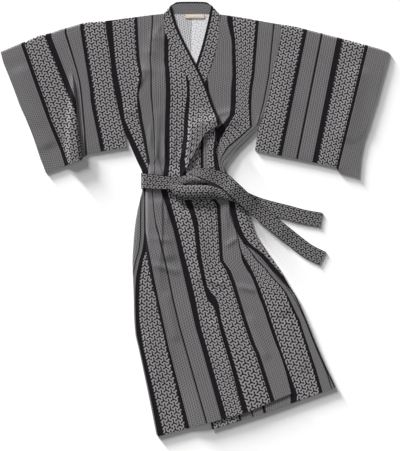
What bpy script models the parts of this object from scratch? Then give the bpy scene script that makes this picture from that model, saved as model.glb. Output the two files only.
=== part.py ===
"""Cotton yukata robe with its own belt, laid flat on its back, front side up.

Frame: millimetres here, metres in the scene. X runs across the robe with the
wearer's right at -X, Y runs from the hem up to the neck, Z is up from the
surface that the robe lies on. The origin is under the middle of the robe.

Each piece that is cut and sewn is one sheet: a grid whose rows follow the
tables below, given its thickness by a Solidify modifier. Heights are counted
in layers of cloth: layer 0 is the back on the surface, layer 1 the left front,
layer 2 the right front, which closes over the left one. A fold lies two layers
higher than the cloth it covers.
"""
import bmesh
import bpy
import numpy as np

# ------------------------------------------------------------ driving sizes
MM = 0.001
WALL = 1.2              # cotton cloth as it lies, with its weave
COLLAR_WALL = 1.6       # the collar band is cloth folded double
BELT_WALL = 1.6         # the belt is cloth folded double and stitched
LAYER = 2.2             # from one layer of cloth to the next
HALF_GAP = 0.25         # half the gap between two pieces at a seam
PRESSED = 0.7           # layers between two plies that are sewn together
FRONT, LEFT_FRONT = 2.0, 1.0
BELT_RISE = 2.0         # what lies over the belt's back run is lifted by this
BELT_WIDTH = 50.0
LABEL_WALL = 0.8
CENTRE_GAP = 0.6        # half the gap at the centre back seam
EDGE_STEP = 2.2         # the front's side edge stands off the back's turned edge
WRAP = 4.0              # least width of the back's edge that is turned to the front
OVERLAP_TIP = 0.12      # where the overlap's tip is cut, between two stations
NECK_FOLD_HIGH, NECK_FOLD_LOW = 3.5, 1.35
BELT_MIDDLE = ((-180.0, 128.0), (130.0, 106.0))   # middle line of the back run
FLOOR_GAP = 0.05

COTTON_GREY = (0.14, 0.14, 0.145)
COTTON_PATTERN = (0.20, 0.20, 0.205)
LABEL_CREAM = (0.80, 0.74, 0.64)

# ------------------------------------------------------------ outline tables
# Right front, which lies on top: one row for each station from shoulder to hem.
# side seam x, y | tuck edge x, rise 0-1, depth | inner edge x, y (collar seam,
# and below the overlap's tip the overlap's seam) | collar seam x, y | free edge
RIGHT_PANEL = (
    (-303, 669, -203, 0, 0, -105, 694, -105, 694, -80, 722),
    (-299, 632, -203, 0, 0, -104, 646, -104, 646, -57, 646),
    (-291, 582, -200, 0, 0, -81, 588, -81, 588, -30, 588),
    (-284, 531, -195, 0, 0, -55, 538, -55, 538, -4, 538),
    (-279, 480, -190, 1, 0, -32, 489, -32, 489, 21, 489),
    (-271, 433, -194, 1, 12, -26, 436, -3, 436, 44, 436),
    (-261, 382, -196, 1, 18, -31, 385, 15, 384, 62, 385),
    (-250, 335, -188, 1, 21, -36, 335, 29, 348, 76, 353),
    (-239, 298, -180, 1, 23, -38, 287, 33, 330, 80, 342),
    (-213, 247, -170, 1, 26, -44, 237, 35, 313, 82, 332),
    (-191, 196, -160, 1, 32, -51, 183, 36, 299, 84, 325),
    (-174, 157, -156, 1, 40, -50, 131, 34, 288, 84, 320),
    (-176, 132, -161, 1, 44, -50, 125, 23, 308, 67, 340),
    (-174, 118, -165, 1, 48, -49, 115, 44, 267, 76, 294),
    (-173, 108, -166, 1, 50, -47, 106, 42, 223, 71, 233),
    (-172, 98, -167, 1, 52, -45, 96, 43, 176, 75, 179),
    (-171, 86, -167, 1, 52, -41, 83, 46, 122, 82, 125),
    (-170, 68, -168, 1, 52, -34, 61, 70, 75, 114, 64),
    (-171, 14, -168, 1, 52, -16, 17, 0, 0, 118, 14),
    (-171, -44, -167, 1, 51, -1, -44, 0, 0, 138, -40),
    (-176, -98, -164, 1, 46, 4, -94, 0, 0, 150, -93),
    (-188, -145, -159, 1, 37, 11, -145, 0, 0, 163, -145),
    (-199, -206, -149, 1, 27, 24, -206, 0, 0, 197, -206),
    (-201, -267, -132, 1, 15, 40, -263, 0, 0, 219, -267),
    (-200, -321, -123, 1, 11, 68, -307, 0, 0, 237, -314),
    (-197, -382, -109, 1, 6, 85, -375, 0, 0, 256, -372),
    (-184, -443, -94, 1, 0, 103, -436, 0, 0, 278, -432),
    (-166, -527, -73, 0.3, 0, 125, -510, 0, 0, 297, -483),
    (-144, -629, -48, 0, 0, 144, -585, 0, 0, 313, -537),
    (-124, -734.5, -23, 0, 0, 164, -657, 0, 0, 326, -589),
)
# Left front, which lies under: side seam x, y | inner edge | collar seam | free edge
LEFT_PANEL = (
    (293, 657, 84, 692, 84, 692, 56, 722),
    (290, 612, 82, 639, 82, 639, 38, 639),
    (277, 551, 73, 578, 73, 578, 22, 578),
    (262, 494, 59, 527, 59, 527, 7, 531),
    (254, 443, 43, 482, 43, 482, -8, 484),
    (246, 402, 48, 433, 23, 433, -26, 436),
    (235, 364, 47, 385, 4, 382, -45, 385),
    (225, 326, 41, 338, -12, 331, -60, 335),
    (215, 307, 33, 301, -22, 287, -72, 287),
    (188, 279, 26, 267, -30, 247, -81, 244),
    (151, 244, 23, 233, -36, 210, -88, 203),
    (120, 211, 22, 200, -40, 176, -92, 166),
    (98, 173, 23, 166, -42, 142, -95, 132),
    (104, 125, 26, 125, -43, 112, -96, 98),
    (113, 68, 31, 71, 0, 0, -97, 54),
    (124, 10, 45, 10, 0, 0, -92, -7),
    (141, -42, 62, -51, 0, 0, -84, -71),
    (166, -81, 79, -108, 0, 0, -75, -135),
    (210, -116, 97, -162, 0, 0, -64, -199),
    (256, -167, 117, -223, 0, 0, -50, -267),
    (302, -218, 139, -287, 0, 0, -33, -334),
    (331, -250, 158, -348, 0, 0, -16, -402),
    (369, -334, 178, -419, 0, 0, 3, -476),
    (401, -414, 200, -497, 0, 0, 23, -558),
    (437, -497, 222, -578, 0, 0, 41, -635),
    (472, -571, 242, -654, 0, 0, 59, -711),
)
# Backs, on the same stations as the front that each is sewn to:
# fold at the side x, y | centre back seam x, y
BACK_RIGHT = (
    (-303, 669, -11, 692), (-299, 632, -12, 646), (-291, 582, -13, 588),
    (-284, 531, -14, 534), (-279, 480, -15, 484), (-271, 433, -17, 433),
    (-261, 382, -19, 382), (-250, 335, -21, 335), (-239, 298, -23, 294),
    (-217, 247, -24, 244), (-195, 196, -25, 193), (-178, 157, -25, 146),
    (-177, 132, -25, 129), (-176, 118, -23, 115), (-176, 108, -22, 105),
    (-177, 98, -21, 95), (-179, 86, -20, 81), (-184, 68, -17, 61),
    (-196, 14, -8, 10), (-204, -44, 4, -44), (-208, -98, 17, -94),
    (-210, -145, 29, -142), (-208, -206, 45, -199), (-206, -267, 62, -260),
    (-205, -321, 78, -314), (-201, -382, 95, -372), (-188, -443, 111, -429),
    (-170, -527, 129, -493), (-149, -629, 151, -568), (-128, -730, 173, -649),
)
BACK_LEFT = (
    (293, 657, -11, 692), (290, 612, -12, 646), (277, 551, -13, 588),
    (262, 494, -14, 534), (254, 443, -15, 484), (246, 402, -17, 433),
    (235, 364, -19, 385), (225, 326, -21, 338), (215, 307, -23, 298),
    (192, 279, -24, 264), (155, 244, -25, 230), (124, 211, -26, 196),
    (102, 173, -26, 162), (123, 125, -24, 122), (154, 68, -19, 68),
    (186, 10, -8, 10), (201, -42, 4, -40), (225, -81, 14, -83),
    (249, -116, 26, -128), (285, -167, 40, -181), (314, -218, 55, -236),
    (335, -250, 70, -287), (373, -334, 92, -361), (405, -414, 117, -449),
    (441, -497, 144, -547), (476, -568, 173, -649),
)
NECK_RIGHT, NECK_LEFT = (-105.0, 693.0), (84.0, 691.0)
RIGHT_ARMHOLE_ROW, LEFT_ARMHOLE_ROW = 8, 8      # last station of each armhole
OVERHANG_ROW = 11                               # edge of the cloth that hangs over
COLLAR_END_RIGHT, COLLAR_END_LEFT = 16, 13
RIGHT_TURN_ROW, LEFT_TURN_ROW = 11, 12          # the back's edge stands up here
RIGHT_EXTRA = (3.5, 4.33, 4.67, 10.5)           # stations added where folds begin
RIGHT_BACK_EXTRA = (10.5, 11.5)
LEFT_EXTRA = (11.5, 12.33, 12.67, 13.33, 13.67, 14.5)
CUFF_SEWN_ROW = 6
TUCK_BOTTOM_RAISED = (6.0, 18.0)
# Sleeves, from the shoulder fold to the bottom: cuff edge x, y | tuck edge x, y,
# rise 0-1, depth. The body edge is the armhole, and below it the free corner.
SLEEVE_RIGHT = (
    (-656, 565, -449, 639, 0, 0), (-647, 530, -439, 601, 0, 0),
    (-628, 481, -427, 549, 0, 0), (-609, 432, -417, 497, 0, 0),
    (-591, 384, -408, 445, 1, 0), (-571, 339, -402, 397, 1, 9),
    (-551, 290, -397, 345, 1, 19), (-535, 245, -391, 296, 1, 27),
    (-523, 209, -385, 258, 1, 33), (-503, 156, -378, 201, 1, 40),
)
SLEEVE_RIGHT_CORNER = (-230.0, 242.0)
SLEEVE_LEFT = (
    (656, 563), (644, 523), (627, 462), (611, 404), (595, 353),
    (583, 313), (572, 274), (563, 237), (559, 217), (552, 142),
)
SLEEVE_LEFT_CORNER = (203.0, 232.0)
SLEEVE_LEFT_STEP = (480.0, 172.0, 11.0)          # step in the bottom edge x, y, drop
# Bow of each shoulder fold above the straight line between its ends: x, rise
SHOULDER_BOW_RIGHT = ((-656, 0), (-607, 3.5), (-567, 5), (-530, 9), (-486, 2.5),
                      (-449, 3.5), (-405, 7), (-364, 9), (-324, 3), (-303, 0))
SHOULDER_BOW_LEFT = ((293, 0), (335, 5), (420, 5.5), (540, 5.7), (582, 3.2), (623, 2.9), (656, 0))
BOW_FADES = (350.0, 550.0)                       # from none at the lower to all at the upper
COLLAR_TOP, COLLAR_DROP, COLLAR_MIDDLE = 734.4, 3.0, -12.0
COLLAR_BACK_X = (-58.0, -30.0, 0.0, 20.0, 37.0)

# Large soft folds, raised in the cloth: from x, y | to x, y | half width, height
LEFT_FOLDS = (
    (84, 316, 160, 352, 24, 2.5),
    (165, -20, 320, -330, 30, 2.0),
)
RIGHT_FOLDS = (
    (-118, 640, -172, 480, 26, 2.0),
    (-122, 80, -84, -150, 28, 2.5),
    (-20, 40, 40, -220, 28, 2.5),
)
SLEEVE_RIGHT_FOLDS = (
    (-600, 520, -490, 230, 32, 2.0),
)
SLEEVE_LEFT_FOLDS = (
    (560, 520, 500, 250, 32, 2.0),
    (330, 560, 280, 300, 32, 2.0),
)
# Belt front run from its left fold to its turn in the knot: x, upper y, lower y,
# height at the edges and at the middle
BELT_FRONT = (
    (-170, 155, 103, 11.6, 11.6), (-140, 151, 101, 12.0, 12.0), (-100, 146, 100, 12.0, 12.0),
    (-60, 141, 100, 12.0, 12.2), (-36, 147, 119, 12.0, 12.8), (-8, 148, 121, 12.0, 14.6),
    (30, 138, 121, 12.0, 14.4), (62, 130, 121, 12.0, 13.0),
)
# Lower turn of the knot: x, upper y, lower y, height above, of the crest and below
KNOT_TURN = (
    (-88, 116, 105, 14.2, 14.6, 14.2), (-78, 117, 92, 14.4, 15.5, 13.6),
    (-66, 117, 75, 14.4, 16.2, 10.8), (-52, 117, 67, 14.4, 16.8, 9.4),
    (-30, 115, 63, 14.3, 17.2, 9.4), (10, 115, 64, 14.3, 17.2, 9.4),
    (44, 114, 66, 14.0, 16.4, 9.4), (80, 105, 68, 11.4, 12.4, 9.3),
    (118, 92, 62, 9.8, 10.4, 9.0), (147, 72, 53, 6.4, 6.8, 6.4),
)
# Belt ends: middle line x, y, width, height, each from the knot to its free end
TAIL_LOWER = (
    (-14, 152, 26, 9.6), (20, 151, 40, 9.6), (58, 147, 46, 9.9),
    (80, 139, 48, 10.0), (102, 127, 49, 13.6), (126, 106, 49, 15.0), (154, 80, 49, 12.2),
    (184, 52, 49, 8.6), (214, 26, 49, 5.0), (250, -4, 49, 3.6),
    (290, -36, 49, 3.4), (335, -72, 49, 1.3), (386, -110, 49, 0.9),
    (432, -133, 49, 0.9),
)
TAIL_UPPER = (
    (172, 69, 44, 6.6), (194, 57, 48, 3.6), (216, 48, 49, 0.9),
    (250, 38, 49, 0.9), (310, 23, 49, 0.9), (370, 7, 49, 0.9), (427, -3, 49, 0.9),
)
LABEL_CENTRE, LABEL_SIZE = (0.0, 685.0), (66.0, 13.0)


# ------------------------------------------------------------ rules
def smooth_step(value):
    """0 below 0, 1 above 1 and a soft ramp between."""
    value = np.clip(value, 0.0, 1.0)
    return value * value * (3.0 - 2.0 * value)


def folds(x, y, table):
    """Height of the soft folds: a bell across each line, faded at its two ends."""
    total = np.zeros_like(x, dtype=float)
    for x0, y0, x1, y1, half, height in table:
        length = np.hypot(x1 - x0, y1 - y0)
        along = ((x - x0) * (x1 - x0) + (y - y0) * (y1 - y0)) / length
        across = ((x - x0) * (y1 - y0) - (y - y0) * (x1 - x0)) / length
        ends = smooth_step(along / 30.0) * smooth_step((length - along) / 30.0)
        total += height * ends * np.exp(-(across / half) ** 2)
    return total


def belt_lift(x, y):
    """Lift over the belt's back run: full over its width, gone 30 mm past it."""
    (x0, y0), (x1, y1) = BELT_MIDDLE
    middle = y0 + (y1 - y0) * (np.clip(x, x0, x1) - x0) / (x1 - x0)
    inside = smooth_step((x - x0 + 40.0) / 30.0) * smooth_step((x1 + 40.0 - x) / 30.0)
    edge = np.abs(y - middle) - BELT_WIDTH / 2.0 - 6.0
    return BELT_RISE * inside * (1.0 - smooth_step(edge / 28.0))


def heights(x, y, layer, *tables):
    """Middle of a sheet: its layer, the belt under it and the folds that lift it."""
    rise = WALL / 2.0 + FLOOR_GAP + LAYER * layer + belt_lift(x, y)
    for table in tables:
        rise = rise + folds(x, y, table)
    return rise


def fill(anchors, counts, extra=()):
    """Anchor points (rows, anchors, values) with even columns and extra rows."""
    columns = []
    for k, count in enumerate(counts):
        for i in range(count):
            columns.append(anchors[:, k] + (anchors[:, k + 1] - anchors[:, k]) * i / count)
    columns.append(anchors[:, -1])
    grid = np.stack(columns, axis=1)
    rows = np.sort(np.concatenate([np.arange(len(grid)), np.array(extra, float)]))
    low = np.minimum(rows.astype(int), len(grid) - 2)
    share = (rows - low)[:, None, None]
    return grid[low] * (1.0 - share) + grid[low + 1] * share


def tuck(edge, rise, depth):
    """Seven columns of a Z fold as offsets from its edge, each with its lift.

    The cloth comes in below, turns back at its inner crease and lies over itself
    from the edge on. At rise 0 it is flat; at rise 1 and depth 0 it only stands.
    """
    flat, laid, wide = 1.0 - rise, np.minimum(depth / 10.0, 1.0), np.maximum(depth, 3.0)
    offsets = (-9.0 * flat + (depth - wide) * rise, -6.0 * flat + depth, -4.5 * flat + depth,
               -3.0 * flat, -1.5 * flat, wide * rise, wide * rise + 4.5 + 1.5 * flat)
    lifts = (0.0 * rise, 0.0 * rise, rise * (0.7 + 0.3 * laid), rise * (1.3 - 0.3 * laid),
             2.0 * rise, 2.0 * rise, rise * (1.6 + 0.35 * laid))
    return list(zip(offsets, lifts))


# ------------------------------------------------------------ modelling tools
def material(name, colour, rough=0.9):
    made = bpy.data.materials.new(name)
    made.use_nodes = True
    shader = made.node_tree.nodes["Principled BSDF"]
    shader.inputs["Base Color"].default_value = (*colour, 1.0)
    shader.inputs["Roughness"].default_value = rough
    shader.inputs["Metallic"].default_value = 0.0
    made.diffuse_color = (*colour, 1.0)
    return made


def sheet(name, points, wall, look):
    """A grid moved to the points (rows, columns, xyz in mm), given its wall."""
    rows, columns = points.shape[:2]
    mesh = bpy.data.meshes.new(name)
    work = bmesh.new()
    bmesh.ops.create_grid(work, x_segments=columns - 1, y_segments=rows - 1, size=1.0)
    for vertex, place in zip(work.verts, points.reshape(-1, 3) * MM):
        vertex.co = place
    work.to_mesh(mesh)
    work.free()
    mesh.materials.append(look)
    made = bpy.data.objects.new(name, mesh)
    robe.objects.link(made)
    shell = made.modifiers.new("wall", 'SOLIDIFY')
    shell.thickness = wall * MM
    shell.offset = 0.0
    shell.use_even_offset = True
    mesh.shade_smooth()
    mesh.set_sharp_from_angle(angle=0.7)
    return made


def pull_in(points, edge, gap=HALF_GAP):
    """Draw one edge column in, square to its own line, by half a seam gap."""
    points = points.copy()
    inner = 1 if edge == 0 else edge - 1
    way = points[:, inner, :2] - points[:, edge, :2]
    way /= np.maximum(np.linalg.norm(way, axis=1, keepdims=True), 1e-6)
    line = np.gradient(points[:, edge, :2], axis=0)
    length = np.linalg.norm(line, axis=1, keepdims=True)
    square = np.column_stack([-line[:, 1], line[:, 0]]) / np.maximum(length, 1e-6)
    turn = np.sum(square * way, axis=1, keepdims=True)
    square = np.where((length > 0.5) & (np.abs(turn) > 0.35), square * np.sign(turn), way)
    points[:, edge, :2] += square * gap
    return points


# ------------------------------------------------------------ the pieces
def right_front_layers():
    """Layers of the right front at the collar's seam and at the free edge."""
    rows = len(RIGHT_PANEL)
    seam, free = np.full(rows, FRONT), np.full(rows, FRONT)
    seam[:5] = (PRESSED, 1.0, 1.0, 1.4, 1.8)
    free[:4] = (PRESSED, 1.0, 1.4, FRONT)
    return seam, free


def side_line(table, back_table, turn, armhole, side):
    """Side edge of a front, with its layers.

    Down to the turn it lies straight over the back's edge, pressed to it below
    the armhole. From there on the back's edge is turned to the front beside it.
    """
    rows = np.arange(len(table))
    line, fold = table[:, 0:2].copy(), np.array(back_table, float)[:, 0]
    turned = np.maximum(np.abs(line[:, 0] - fold), WRAP)
    inward = np.where(rows < turn, 0.0, np.where(rows == turn, EDGE_STEP, turned))
    line[:, 0] = fold - side * inward
    layer = np.where((rows < armhole) | (rows == turn - 1), LEFT_FRONT, PRESSED)
    layer = np.where(rows == armhole, (LEFT_FRONT + PRESSED) / 2.0, layer)
    layer = np.where(rows == turn, LEFT_FRONT + 0.2, np.where(rows > turn, LEFT_FRONT, layer))
    layer[0] = PRESSED
    return line, layer


def right_front():
    """Right front: side seam, tuck, then the upper ply to the inner edge."""
    table = np.array(RIGHT_PANEL, float)
    inner = table[:, 5:7]
    edge, rise, depth = table[:, 2], table[:, 3], table[:, 4]
    side, side_layer = side_line(table, BACK_RIGHT, RIGHT_TURN_ROW, RIGHT_ARMHOLE_ROW, -1)
    inner_layer, _ = right_front_layers()
    left = np.array(LEFT_PANEL, float)[::-1]
    free_edge = np.interp(table[:, 1], left[:, 7], left[:, 6])
    over = np.clip(free_edge - 20.0, edge + depth + 16.0, inner[:, 0] - 12.0)
    slope = (inner[:, 1] - side[:, 1]) / (inner[:, 0] - side[:, 0])

    def at(x, layer):
        return np.stack([x, side[:, 1] + slope * (x - side[:, 0]), layer], axis=1)

    base = np.full(len(table), LEFT_FRONT)
    base[0] = PRESSED
    columns = [at(side[:, 0], side_layer)]
    columns += [at(edge + step, base + lift) for step, lift in tuck(edge, rise, depth)]
    columns.append(at(over, np.minimum(inner_layer, FRONT)))
    columns.append(np.column_stack([inner, inner_layer]))
    grid = fill(np.stack(columns, axis=1), (2, 2, 1, 2, 1, 2, 1, 2, 3), RIGHT_EXTRA)
    return laid(grid, HALF_GAP, LEFT_FOLDS, RIGHT_FOLDS)


def left_front():
    """Left front: from the side seam to the collar seam or the overlap's seam."""
    table = np.array(LEFT_PANEL, float)
    side, side_layer = side_line(table, BACK_LEFT, LEFT_TURN_ROW, LEFT_ARMHOLE_ROW, 1)
    layer = np.full((len(table), 1), LEFT_FRONT)
    layer[0] = PRESSED
    near = side + (table[:, 2:4] - side) * 0.1
    columns = [np.column_stack([side, side_layer]), np.hstack([near, layer]),
               np.hstack([table[:, 2:4], layer])]
    return laid(fill(np.stack(columns, axis=1), (1, 8), LEFT_EXTRA), HALF_GAP, LEFT_FOLDS)


def back(table, front, neck, turn, side, extra):
    """Back half: on the surface, its side edge turned to the front below the waist.

    Columns run from the side seam to the centre back seam. In the first row they
    follow the shoulder seam and then the neck.
    """
    table, front = np.array(table, float), np.array(front, float)
    rows = np.arange(len(table))
    fold, centre = table[:, 0:2].copy(), table[:, 2:4]
    short = (fold[-1, 1] - fold[-2, 1]) / (front[-1, 1] - front[-2, 1])
    fold[-1, 0] = fold[-2, 0] + (fold[-1, 0] - fold[-2, 0]) * short
    wrap = np.abs(np.interp(fold[:, 1], front[::-1, 1], front[::-1, 0]) - fold[:, 0])
    middle = centre + (fold - centre) * 0.32
    middle[0] = neck

    def at(flat, standing, turned, flat_layer, standing_layer, turned_layer):
        inward = np.where(rows < turn, flat, np.where(rows == turn, standing, turned))
        layer = np.where(rows < turn, flat_layer, np.where(rows == turn, standing_layer, turned_layer))
        return np.column_stack([fold[:, 0] - side * inward, fold[:, 1], layer])

    columns = [at(0.0, 0.8, wrap, 0.0, 1.1, LEFT_FRONT),
               at(1.6, 0.7, 1.2, 0.0, 0.7, LEFT_FRONT),
               at(3.0, 0.7, 0.0, 0.0, 0.2, 0.5),
               at(5.0, 3.2, 1.3, 0.0, 0.0, 0.0),
               np.column_stack([middle, 0.0 * rows]),
               np.column_stack([centre, 0.0 * rows])]
    return laid(fill(np.stack(columns, axis=1), (2, 1, 1, 6, 3), extra), CENTRE_GAP)


def laid(grid, inner_gap, *tables):
    """Rows of x, y, layer laid as cloth, drawn in at both side edges."""
    x, y = grid[..., 0], grid[..., 1]
    points = np.stack([x, y, heights(x, y, grid[..., 2], *tables)], axis=2)
    return pull_in(pull_in(points, 0), points.shape[1] - 1, inner_gap)


def right_overlap_and_collar():
    """Anchors of the right overlap and of the right half of the collar.

    Above the belt the cloth hangs over itself: the rows come down to an edge, go
    back under it and down again. The fold runs out at the overlap's seam.
    """
    table = np.array(RIGHT_PANEL, float)
    seam, collar_seam, free = table[:, 5:7], table[:, 7:9], table[:, 9:11]
    seam_layer, free_layer = right_front_layers()
    edge, crease = OVERHANG_ROW, OVERHANG_ROW + 1
    share = np.array((0.0, 0.18, 0.36, 0.58, 0.8, 1.0))
    rise = smooth_step(share / 0.36)
    depth = np.clip((share - 0.36) / 0.64, 0.0, 1.0)
    lifted = {edge - 4: 0.35, edge - 3: 1.0, edge - 2: 1.05, edge - 1: 1.0}
    overlap, band = [], []
    tip = seam[4:5] + OVERLAP_TIP * (np.stack([seam[5], collar_seam[5]]) - seam[4])
    overlap.append(np.column_stack([tip[0] + np.outer(share, tip[1] - tip[0]), np.full(6, 1.85)]))
    for r in range(5, len(table)):
        end = collar_seam[r] if r <= COLLAR_END_RIGHT else free[r]
        points = seam[r] + np.outer(share, end - seam[r])
        if r == edge:
            way = np.outer(depth, collar_seam[crease] - collar_seam[edge])
            down = np.outer(1.0 - rise, (0.0, -2.0))
            lifts = (2.0 * rise, rise * (1.3 - 0.3 * depth), rise * (0.7 + 0.3 * depth), 0.0 * rise)
            moves = (0.0 * way, down, way + 2.0 * down, way + 3.0 * down)
            overlap += [np.column_stack([points + move, FRONT + lift])
                        for move, lift in zip(moves, lifts)]
        elif r != crease:
            overlap.append(np.column_stack([points, FRONT + 2.0 * lifted.get(r, 0.0) * rise]))
    for r in range(COLLAR_END_RIGHT + 1):
        ends, layers = np.stack([collar_seam[r], free[r]]), np.array((seam_layer[r], free_layer[r]))
        if r == edge:
            back_ends = np.stack([collar_seam[crease], free[crease]])
            for places, lift in ((ends, 2.0), (ends, 1.0), (back_ends, 1.0), (back_ends, 0.0)):
                band.append(np.column_stack([places, layers + lift]))
        elif r != crease:
            lift = 2.0 * lifted.get(r, 0.0) * np.array((1.0, 1.15 if r < edge - 1 else 1.0))
            band.append(np.column_stack([ends, layers + lift]))
    return np.stack(overlap), np.stack(band)


def right_overlap():
    anchors, _ = right_overlap_and_collar()
    grid = fill(anchors, (1, 1, 1, 1, 1), (13.33, 13.67, 14.5))
    points = laid(grid, HALF_GAP, LEFT_FOLDS, RIGHT_FOLDS)
    hem = slice(OVERHANG_ROW - 5, OVERHANG_ROW + 1)
    points[hem, -1, :2] += (points[hem, -2, :2] - points[hem, -1, :2]) * 0.04
    return points


def left_overlap():
    """Left overlap, from its tip at the collar down to the hem."""
    table = np.array(LEFT_PANEL, float)[4:]
    seam, collar_seam, free = table[:, 2:4].copy(), table[:, 4:6].copy(), table[:, 6:8]
    tip = [line[0] + OVERLAP_TIP * (line[1] - line[0]) for line in (seam, collar_seam)]
    seam[0], collar_seam[0] = tip
    inner = np.where(np.arange(len(table))[:, None] <= COLLAR_END_LEFT - 4, collar_seam, free)
    layer = np.full((len(table), 1), LEFT_FRONT)
    grid = fill(np.stack([np.hstack([inner, layer]), np.hstack([seam, layer])], axis=1), (5,),
                [row - 4.0 for row in LEFT_EXTRA])
    return laid(grid, HALF_GAP, LEFT_FOLDS)


def collar():
    """One band: up the right front, round the back of the neck, down the left."""
    _, band = right_overlap_and_collar()
    right = fill(band, (2,), (17.33, 17.67))
    table = np.array(LEFT_PANEL, float)[:COLLAR_END_LEFT + 1]
    layers = np.full((len(table), 1), LEFT_FRONT)
    left = fill(np.stack([np.hstack([table[:, 4:6], layers]), np.hstack([table[:, 6:8], layers])],
                         axis=1), (2,), (11.5, 12.5))
    halves = []
    for half, tables in ((right, (LEFT_FOLDS, RIGHT_FOLDS)), (left, (LEFT_FOLDS,))):
        x, y = half[..., 0], half[..., 1]
        half = np.stack([x, y, heights(x, y, half[..., 2], *tables)], axis=2)
        half[0, 0, :2] += (half[0, -1, :2] - half[0, 0, :2]) * 0.09
        half[0, 1, :2] += (half[0, -1, :2] - half[0, 1, :2]) * 0.05
        half[0, :, 2] = NECK_FOLD_HIGH
        turned = half[:1].copy()
        turned[..., 2] = NECK_FOLD_LOW
        halves.append((half, turned))
    low = COLLAR_WALL / 2.0 + FLOOR_GAP
    middle = []
    for x in COLLAR_BACK_X:
        free_y = COLLAR_TOP - COLLAR_DROP * ((x - COLLAR_MIDDLE) / 60.0) ** 4
        seam_y = NECK_RIGHT[1] + 1.0
        middle.append([(x, seam_y, low), (x, (seam_y + free_y) / 2.0, low), (x, free_y, low)])
    (right, right_turn), (left, left_turn) = halves
    grid = np.concatenate([right[::-1], right_turn, np.array(middle), left_turn, left])
    return pull_in(grid, 0)


def bowed(grid, bow):
    """A sleeve's sections with their shoulder fold bowed up, fading downwards."""
    x, rise = np.array(bow, float).T
    low, high = BOW_FADES
    share = np.clip((grid[..., 1] - low) / (high - low), 0.0, 1.0)
    grid[..., 1] += np.interp(grid[..., 0], x, rise) * share
    return grid


def sleeve(cuff, armhole, tables, bow):
    """Flat tube: the under ply up to the shoulder fold, then the upper ply down.

    Columns run from the cuff to the body. The plies are sewn along the bottom,
    and along the cuff below its opening.
    """
    last = len(cuff) - 1
    under, upper = [], []
    for r, row in enumerate(cuff):
        start, end = np.array(row[0:2], float), np.array(armhole[r], float)
        base = PRESSED if r in (0, last) else LEFT_FRONT
        start_layer = PRESSED if r == 0 or r >= CUFF_SEWN_ROW else LEFT_FRONT
        over, flat = [(*start, start_layer)], [(*start, 0.0)]
        if len(row) > 2:
            edge_x, edge_y, rise, depth = row[2:6]
            slope = (edge_y - start[1]) / (edge_x - start[0])
            raised = TUCK_BOTTOM_RAISED if r == last else (0.0, 2.0)
            steps = list(reversed(tuck(edge_x, rise, float(depth))))
            rest = list(reversed(tuck(edge_x, 0.0, 0.0)))
            before = edge_x - depth - 22.0
            over.append((before, start[1] + slope * (before - start[0]), base))
            for k, (step, lift) in enumerate(steps):
                x = edge_x - step
                y = edge_y + (slope * (x - edge_x) if k < 3 else raised[0] * (k > 3))
                over.append((x, y, base + lift))
            flat.append((before, start[1] + slope * (before - start[0]), 0.0))
            flat += [(edge_x - step, edge_y + (raised[1] if k > 5 else 0.0) * rise, 0.0)
                     for k, (step, _) in enumerate(rest)]
            after = (edge_x + 16.0, edge_y + raised[1])
            over.append((*after, base))
            flat.append((*after, 0.0))
        else:
            share = r / float(last)
            top = end + (start - end) * 0.76
            knee = top + (np.array(SLEEVE_LEFT_STEP[:2]) - top) * share
            over += [(knee[0] + 5.0, knee[1] - SLEEVE_LEFT_STEP[2] * share, base), (*knee, base)]
            flat += [(p[0], p[1], 0.0) for p in over[1:]]
        over.append((*end, base))
        flat.append((*end, 0.0))
        upper.append(over)
        under.append(flat)
    counts = (3, 1, 1, 2, 1, 2, 1, 2, 1, 3) if len(cuff[0]) > 2 else (2, 1, 6)
    plies = []
    for ply, used in ((under, ()), (upper, tables)):
        grid = fill(np.array(ply, float), counts, (0.5, 3.5, 4.33, 4.67, last - 0.5))
        grid = bowed(grid, bow)
        grid[..., 2] = heights(grid[..., 0], grid[..., 1], grid[..., 2], *used)
        plies.append(pull_in(grid, grid.shape[1] - 1))
    plies[0][0, :, :2] = plies[1][0, :, :2]
    return np.concatenate([plies[0][::-1], plies[1]])


def strip(path):
    """A band laid along a middle line of x, y, width, height rows."""
    path = np.array(path, float)
    way = np.gradient(path[:, :2], axis=0)
    way /= np.linalg.norm(way, axis=1, keepdims=True)
    left = np.column_stack([-way[:, 1], way[:, 0]])
    offsets = np.linspace(-0.5, 0.5, 4)
    xy = path[:, None, :2] + left[:, None, :] * (path[:, 2][:, None] * offsets)[..., None]
    z = np.repeat(path[:, 3][:, None], 4, axis=1)
    return np.concatenate([xy, z[..., None]], axis=2)


def belt_band():
    """Belt round the waist: front run, left fold, back run and right fold."""
    rows = []
    share = np.linspace(0.0, 1.0, 5)

    def add(x, upper, lower, edge, middle):
        rows.append([(x, lower + (upper - lower) * s, edge + (middle - edge) * np.sin(np.pi * s))
                     for s in share])

    low = BELT_WALL / 2.0 + FLOOR_GAP
    for x, upper, lower, edge, middle in reversed(BELT_FRONT):
        add(x, upper, lower, edge, middle)
    add(-178.5, 155.0, 103.0, 9.8, 9.8)
    add(-181.0, 154.0, 103.0, 5.4, 5.4)
    add(-180.4, 153.0, 103.0, 2.0, 2.0)
    add(-178.2, 152.5, 102.5, low + 0.04, low + 0.04)
    (x0, y0), (x1, y1) = BELT_MIDDLE
    for x in (-168.0, -110.0, -50.0, 10.0, 70.0, 125.0):
        y = y0 + (y1 - y0) * (x - x0) / (x1 - x0)
        add(x, y + BELT_WIDTH / 2.0, y - BELT_WIDTH / 2.0, low, low)
    return np.array(rows, float)


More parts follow.
